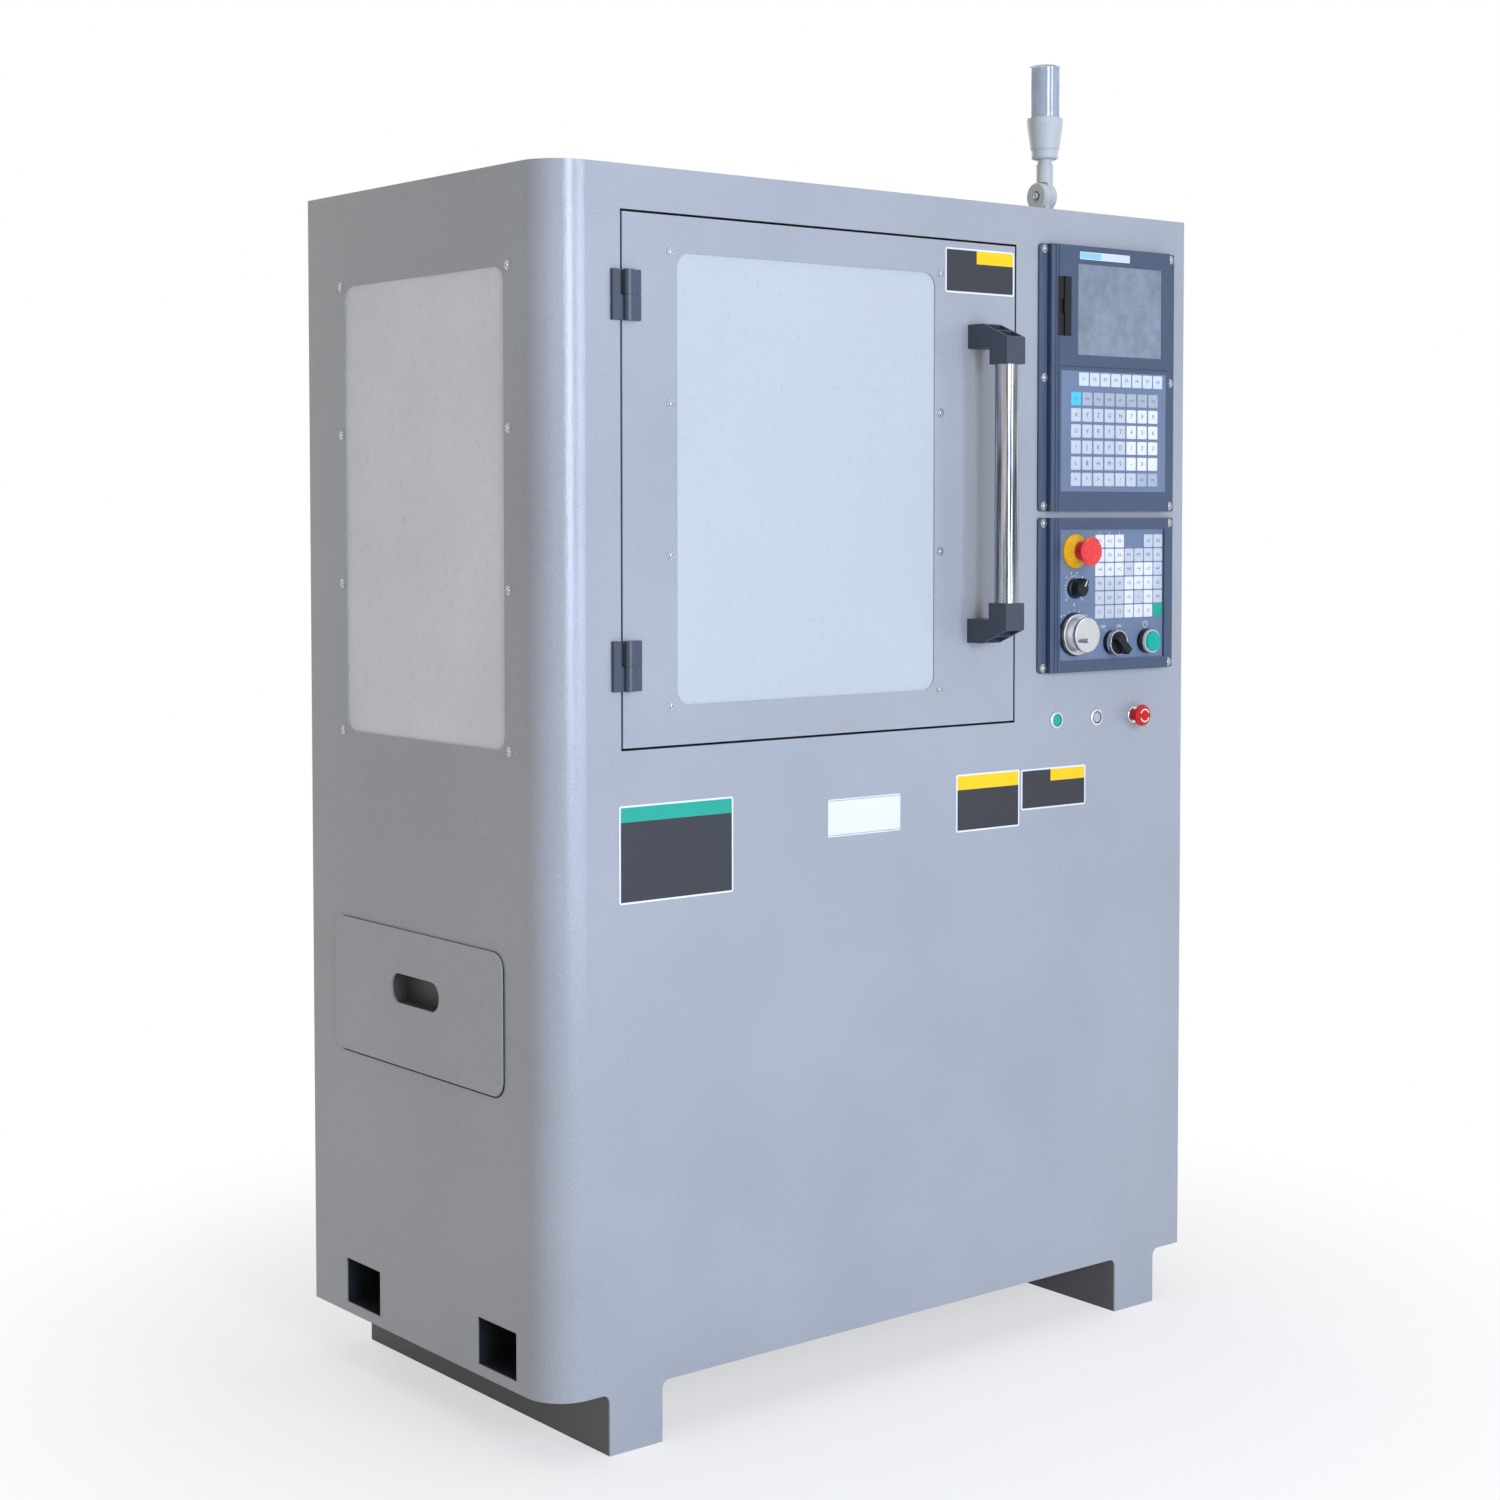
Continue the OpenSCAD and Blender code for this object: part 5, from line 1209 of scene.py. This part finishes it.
@dataclass(frozen=True)
class ScrewGrid:
    """Two columns of screws on one face, in millimetres, with the turn that stands them out of it."""

    columns: tuple[float, float]
    heights: tuple[float, ...]
    face: float
    turn: Triple = OUT

    def places(self) -> list[Vector]:
        """List the place of every screw in the shared frame."""
        sides = [(self.face, column) if self.turn == LEFT else (column, self.face) for column in self.columns]
        return [at(*side, height) for side in sides for height in self.heights]


@dataclass
class ButtonScrews:
    """Button-head screws, each in a steel washer with a near-black ring of painted shade round the head and a
    socket painted dark as shade, in place of a node's plain ones.
    """

    node: str
    body: str
    grids: tuple[ScrewGrid, ...]
    head_r: float = 3.0
    head_h: float = 2.5
    head_round: float = 1.2
    shank: float = 6.9
    shank_r: float = 1.95
    socket_r: float = 1.1
    socket_deep: float = 1.3
    rubber_r: float = 5.1
    rubber_h: float = 0.6
    washer_r: float = 5.7
    washer_h: float = 0.8
    sides: int = 32

    def screw(self) -> Obj:
        """Model one screw on the origin: domed head, socket painted dark as shade, shank, ring of painted shade
        round the head, and washer.

        Returns:
            The screw, with its socket and the ring of painted shade as second material.
        """
        obj = Bench.bar("screw", self.head_r, self.head_h, self.sides)
        Bench.bevel(obj, self.head_round, 4, lambda mid, run: mid.z > self.head_h * MM * 0.9)
        Bench.faces(obj, lambda mid, normal: normal.z > 0.99)
        Bench.inset(self.head_r - self.head_round - self.socket_r)
        Bench.pull(0, 0, -self.socket_deep)
        Bench.faces(obj, lambda mid, normal: normal.z < -0.99)
        Bench.inset(self.head_r - self.shank_r)
        Bench.pull(0, 0, -self.shank)
        Bench.done()
        # The socket's second material is painted shade in the recess.
        Bench.mark_inside(obj, self.socket_r + 0.05)
        # The near-black ring round the head is painted shade.
        rubber = Bench.ring("rubber", self.head_r, self.rubber_r, self.rubber_h, sides=self.sides)
        for face in rubber.data.polygons:
            face.material_index = 1
        washer = Bench.ring("washer", self.rubber_r, self.washer_r, self.washer_h, sides=self.sides)
        return Bench.join("screw", [obj, rubber, washer])

    def build(self) -> None:
        """Copy the screw to every place and mount the set."""
        one = self.screw()
        made = []
        for grid in self.grids:
            for place in grid.places():
                made.append(Bench.copy(one))
                Bench.set_down(made[-1], place, grid.turn)
        bpy.data.objects.remove(one)
        piece = Bench.join(f"{self.node}_heads", made)
        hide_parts(self.node)
        Bench.hand_over(piece, self.body, "screw_steel", NICKEL, BLACK_OXIDE_AND_PAINTED_SHADE)


SIDE_WINDOW_SCREWS = ScrewGrid((80.5, 455.5), (808.0, 991.33, 1174.67, 1358.0), 0.0, LEFT)
PANEL_SCREWS = ScrewGrid((768.0, 1007.0), (1087.5, 1253.25, 1419.0, 877.0, 1065.0), -5.0)
REAR_COVER_SCREWS = ScrewGrid((780.0, 995.0), (937.5, 1130.0, 1322.5), 539.0, BACK)
DOOR_WINDOW_SCREWS = ScrewGrid((169.0, 590.0), (857.0, 1030.33, 1203.67, 1377.0), 0.0)


@dataclass
class CabinetPlates:
    """Plain plates on the front sheet and on the door."""

    floor: float = 72.0

    def build(self) -> None:
        """Make the five plates."""
        z = self.floor
        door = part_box("door_panel")[0].y / MM + ORIGIN_D
        yellow = (INK_YELLOW, INK_SLATE)
        for plate in (
            Plate("left_plate", 94.5, 259.5, z + 561, z + 674, INK_TEAL, INK_SLATE, 0.17),
            Plate("middle_plate", 406, 523.6, z + 613, z + 659, INK_WHITE, INK_WHITE, corner=1.5),
            Plate("right_plate", 618.7, 730.7, z + 601.8, z + 675.4, *yellow, 0.27),
            Plate("end_plate", 733.9, 852.9, z + 621.4, z + 674.3, *yellow, 0.33, 0.45),
            Plate(
                "door_plate", 597.5, 717.3, z + 1282.5, z + 1338.8, *yellow, 0.33, 0.45, depth=door, body="door"
            ),
        ):
            plate.build()


@dataclass
class SignalLamp:
    """Fluted light column in the lens and the socket screw of the pivot, in millimetres."""

    x: float = 873.0
    d: float = 100.0
    roof: float = 1472.0
    lens_low: float = 135.7
    column_r: float = 19.6
    column_h: float = 66.0
    flutes: int = 24
    flute_rim: float = 0.3
    flute_deep: float = 0.8
    pivot: float = 30.7
    screw_in: float = 14.0
    screw_r: float = 4.3
    screw_h: float = 2.9
    screw_round: float = 0.4
    socket_rim: float = 1.6
    socket_deep: float = 0.8

    def build(self) -> None:
        """Make the light column and the pivot screw."""
        step = math.pi / self.flutes
        core = Bench.bar("lamp_column", self.column_r, self.column_h, 2 * self.flutes)
        Bench.faces(
            core,
            lambda mid, normal: abs(normal.z) < 0.5 and int(math.atan2(mid.y, mid.x) // step) % 2 == 0,
        )
        bpy.ops.mesh.inset(thickness=self.flute_rim * MM, use_individual=True)
        bpy.ops.mesh.extrude_region_shrink_fatten(
            TRANSFORM_OT_shrink_fatten={"value": -self.flute_deep * MM}
        )
        Bench.done()
        Bench.set_down(core, at(self.x, self.d, self.roof + self.lens_low))
        Bench.hand_over(core, "lamp", "lamp_white", FROSTED)
        screw = Bench.bar("lamp_pivot_screw", self.screw_r, self.screw_h, 36)
        top = (self.screw_h - 0.1) * MM
        Bench.bevel(screw, self.screw_round, 2, lambda mid, run: mid.z > top)
        Bench.faces(screw, lambda mid, normal: normal.z > SQUARE)
        Bench.inset(self.socket_rim)
        Bench.pull(0, 0, -self.socket_deep)
        Bench.done()
        Bench.set_down(screw, at(self.x - self.screw_in, self.d, self.roof + self.pivot), LEFT)
        Bench.hand_over(screw, "cabinet", "screw_steel", NICKEL)


@dataclass
class DriveScrew:
    """A ball screw with its rolled thread, in place of a plain shaft, in millimetres."""

    node: str
    axis: int
    lead: float = 10.0
    groove: float = 1.3
    end: float = 16.0
    play: float = 0.02
    steps: int = 24

    def ridge(self, radius: float, turns: int) -> Obj:
        """Model the thread's section and turn it into a closed ridge round Z.

        Args:
            radius: Outer radius of the thread in metres.
            turns: Number of turns.

        Returns:
            The ridge, which starts at the origin.
        """
        Bench.clear()
        bpy.ops.mesh.primitive_plane_add(
            size=1, location=(radius - self.groove * MM * 0.6, 0, 0), rotation=OUT
        )
        ridge = Bench.named("ridge")
        ridge.scale = (self.groove * MM * 1.2, self.lead * MM * 0.55, 1)
        Bench.fix()
        Bench.edges(ridge, lambda mid, run: mid.x > radius - 0.1 * MM)
        bpy.ops.transform.resize(value=(1, 1, 0.6), center_override=(radius, 0, 0))
        Bench.done()
        Bench.take(ridge)
        turn = ridge.modifiers.new("thread", "SCREW")
        turn.axis = "Z"
        turn.screw_offset = self.lead * MM
        turn.iterations = turns
        turn.steps = turn.render_steps = self.steps
        bpy.ops.object.modifier_apply(modifier="thread")
        Bench.edit()
        bpy.ops.mesh.select_all(action="SELECT")
        bpy.ops.mesh.remove_doubles(threshold=1e-6)
        bpy.ops.mesh.fill_holes(sides=0)
        Bench.outward()
        Bench.done()
        return ridge

    def build(self) -> None:
        """Model the core and the thread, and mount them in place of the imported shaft."""
        low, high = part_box(self.node)
        size = high - low
        length = size[self.axis]
        radius = size[(self.axis + 1) % 3] / 2 - self.play * MM
        core = Bench.bar(f"{self.node}_thread", radius / MM - self.groove, length / MM, 32)
        Bench.bevel(
            core, 1.0, 2, lambda mid, run: abs(mid.z - length / 2) > length * 0.49 and abs(run.z) < 0.1
        )
        turns = int((length - 2 * self.end * MM) / (self.lead * MM))
        ridge = self.ridge(radius, turns)
        Bench.set_down(ridge, Vector((0, 0, (length - turns * self.lead * MM) / 2)))
        piece = Bench.join(f"{self.node}_thread", [core, ridge])
        turn_to = ((0, math.pi / 2, 0), BACK, STILL)[self.axis]
        foot = (low + high) / 2
        foot[self.axis] = low[self.axis]
        Bench.set_down(piece, foot, turn_to)
        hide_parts(self.node)
        Bench.hand_over(piece, self.node, "ground_steel", GROUND_STEEL)


@dataclass(frozen=True)
class Softbox:
    """A rectangular lamp: place and size in metres, turn in degrees, power in watts."""

    name: str
    place: Triple
    turn: Triple
    size: tuple[float, float]
    power: float
    colour: str

    def hang(self) -> None:
        """Add the lamp to the scene."""
        turn = [math.radians(angle) for angle in self.turn]
        bpy.ops.object.light_add(type="AREA", location=self.place, rotation=turn)
        obj = bpy.context.active_object
        obj.name = self.name
        light = obj.data
        light.shape = "RECTANGLE"
        light.size, light.size_y = self.size
        light.energy = self.power
        light.color = linear(self.colour)[:3]


LAMPS = (
    Softbox("key_strip_left", (-1.07, -3.6, 1.6), (90, 0, 0), (0.85, 1.7), 75, "#D8E4FF"),
    Softbox("key_strip_right", (0.63, -3.6, 1.6), (90, 0, 0), (0.59, 1.7), 40, "#D2E0FF"),
    Softbox("top_softbox", (0.2, -0.6, 4.2), (8, 0, 0), (3.0, 3.0), 40, "#FFFFFF"),
    Softbox("low_fill", (-0.3, -3.4, 0.45), (90, 0, 0), (2.6, 0.7), 26, "#BEDAFF"),
    Softbox("back_fill", (0.3, 4.0, 1.8), (-90, 0, 0), (3.0, 2.4), 74, "#F2F5FF"),
    Softbox("right_fill", (4.2, 0.4, 1.7), (90, 0, 90), (2.0, 2.4), 22, "#F2F5FF"),
    Softbox("left_strip", (-3.18, -2.5, 1.6), (90, 0, -50), (0.9, 1.6), 4.5, "#FFE0C0"),
)


@dataclass
class Studio:
    """White studio: floor, soft lamps, world and the camera, in metres and degrees."""

    floor_r: float = 7.0
    fade_from: float = 0.45
    fade_to: float = 1.3
    camera_place: Triple = (-2.10745, -2.58265, 1.08224)
    camera_tilt: float = -2.489
    camera_pan: float = -39.261
    lens: float = 61.16
    sensor: float = 36.0
    shift: tuple[float, float] = (-0.0187, -0.0861)
    world_level: float = 0.27

    def build(self) -> None:
        """Make the stage, the light and the camera."""
        self.floor()
        self.world()
        for lamp in LAMPS:
            lamp.hang()
        self.camera()

    @staticmethod
    def seen(tree: bpy.types.NodeTree) -> bpy.types.NodeSocket:
        """Add the test for rays that show the background.

        Args:
            tree: Node tree of the floor or the world.

        Returns:
            A socket that is 1 for camera, glossy and transmission rays.
        """
        path = add(tree, "LightPath", {}, {}).outputs
        most = path["Is Camera Ray"]
        for ray in ("Is Glossy Ray", "Is Transmission Ray"):
            most = add(tree, "Math", {"operation": "MAXIMUM"}, {0: most, 1: path[ray]}).outputs[0]
        return most

    def floor(self) -> None:
        """Make a pale floor that takes the shadow and fades to white away from the object."""
        Bench.clear()
        bpy.ops.mesh.primitive_circle_add(vertices=96, radius=self.floor_r, fill_type="NGON")
        obj = Bench.named("studio_floor")
        made, tree = blank(bpy.data.materials, "seamless_paper")
        place = add(tree, "TexCoord", {}, {}).outputs["Object"]
        far = add(tree, "VectorMath", {"operation": "LENGTH"}, {0: place}).outputs["Value"]
        span = {"From Min": self.fade_from, "From Max": self.fade_to, "To Min": 0.6}
        fade = add(tree, "MapRange", {"interpolation_type": "SMOOTHSTEP"} | span, {"Value": far})
        links = {0: fade.outputs["Result"], 1: self.seen(tree)}
        share = add(tree, "Math", {"operation": "MULTIPLY"}, links).outputs[0]
        grain = add(tree, "TexNoise", {"Scale": 400.0}, {"Vector": place}).outputs["Fac"]
        tone = add(tree, "ValToRGB", {}, {"Fac": grain})
        for element, colour in zip(tone.color_ramp.elements, ("#F0F0F0", "#F8F8F8"), strict=True):
            element.color = linear(colour)
        paper = add(tree, "BsdfDiffuse", {}, {"Color": tone.outputs["Color"]}).outputs["BSDF"]
        white = add(tree, "Emission", {"Color": (1, 1, 1, 1), "Strength": 1.0}, {}).outputs["Emission"]
        mix = add(tree, "MixShader", {}, {0: share, 1: paper, 2: white}).outputs["Shader"]
        add(tree, "OutputMaterial", {}, {"Surface": mix})
        obj.data.materials.append(made)

    def world(self) -> None:
        """Light the object with an even, faintly warm world that the camera sees as white."""
        made, tree = blank(bpy.data.worlds, "studio_world")
        bpy.context.scene.world = made
        sides = [
            add(tree, "Background", {"Color": linear(colour), "Strength": strength}, {}).outputs["Background"]
            for colour, strength in (("#FFF7EA", self.world_level), ("#FFFFFF", 1.0))
        ]
        mix = add(tree, "MixShader", {}, {0: self.seen(tree), 1: sides[0], 2: sides[1]}).outputs["Shader"]
        add(tree, "OutputWorld", {}, {"Surface": mix})

    def camera(self) -> None:
        """Set the camera at the photograph's viewing angle."""
        turn = (math.radians(90 + self.camera_tilt), 0, math.radians(self.camera_pan))
        bpy.ops.object.camera_add(location=self.camera_place, rotation=turn)
        obj = bpy.context.active_object
        obj.data.sensor_width = self.sensor
        obj.data.lens = self.lens
        obj.data.shift_x, obj.data.shift_y = self.shift
        bpy.context.scene.camera = obj


def main() -> None:
    """Load the solids, dress them, add the scene's own pieces and set the stage."""
    logging.basicConfig(level=logging.INFO, format="%(message)s")
    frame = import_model()
    bpy.context.scene.view_settings.view_transform = "Standard"
    SHOP.dress(frame)
    CabinetPlates().build()
    DisplayPanel().build()
    OperatorPanel().build()
    PowerRow().build()
    SignalLamp().build()
    DrawerTrim().build()
    DoorShadeFrame().build()
    cabinet_grids = (SIDE_WINDOW_SCREWS, PANEL_SCREWS, REAR_COVER_SCREWS)
    ButtonScrews("cabinet_screws", "cabinet", cabinet_grids).build()
    ButtonScrews("door_window_screws", "door", (DOOR_WINDOW_SCREWS,)).build()
    for axis, node in enumerate(("x_screw", "y_screw", "z_screw")):
        DriveScrew(node, axis).build()
    Studio().build()


if __name__ == "__main__":
    main()
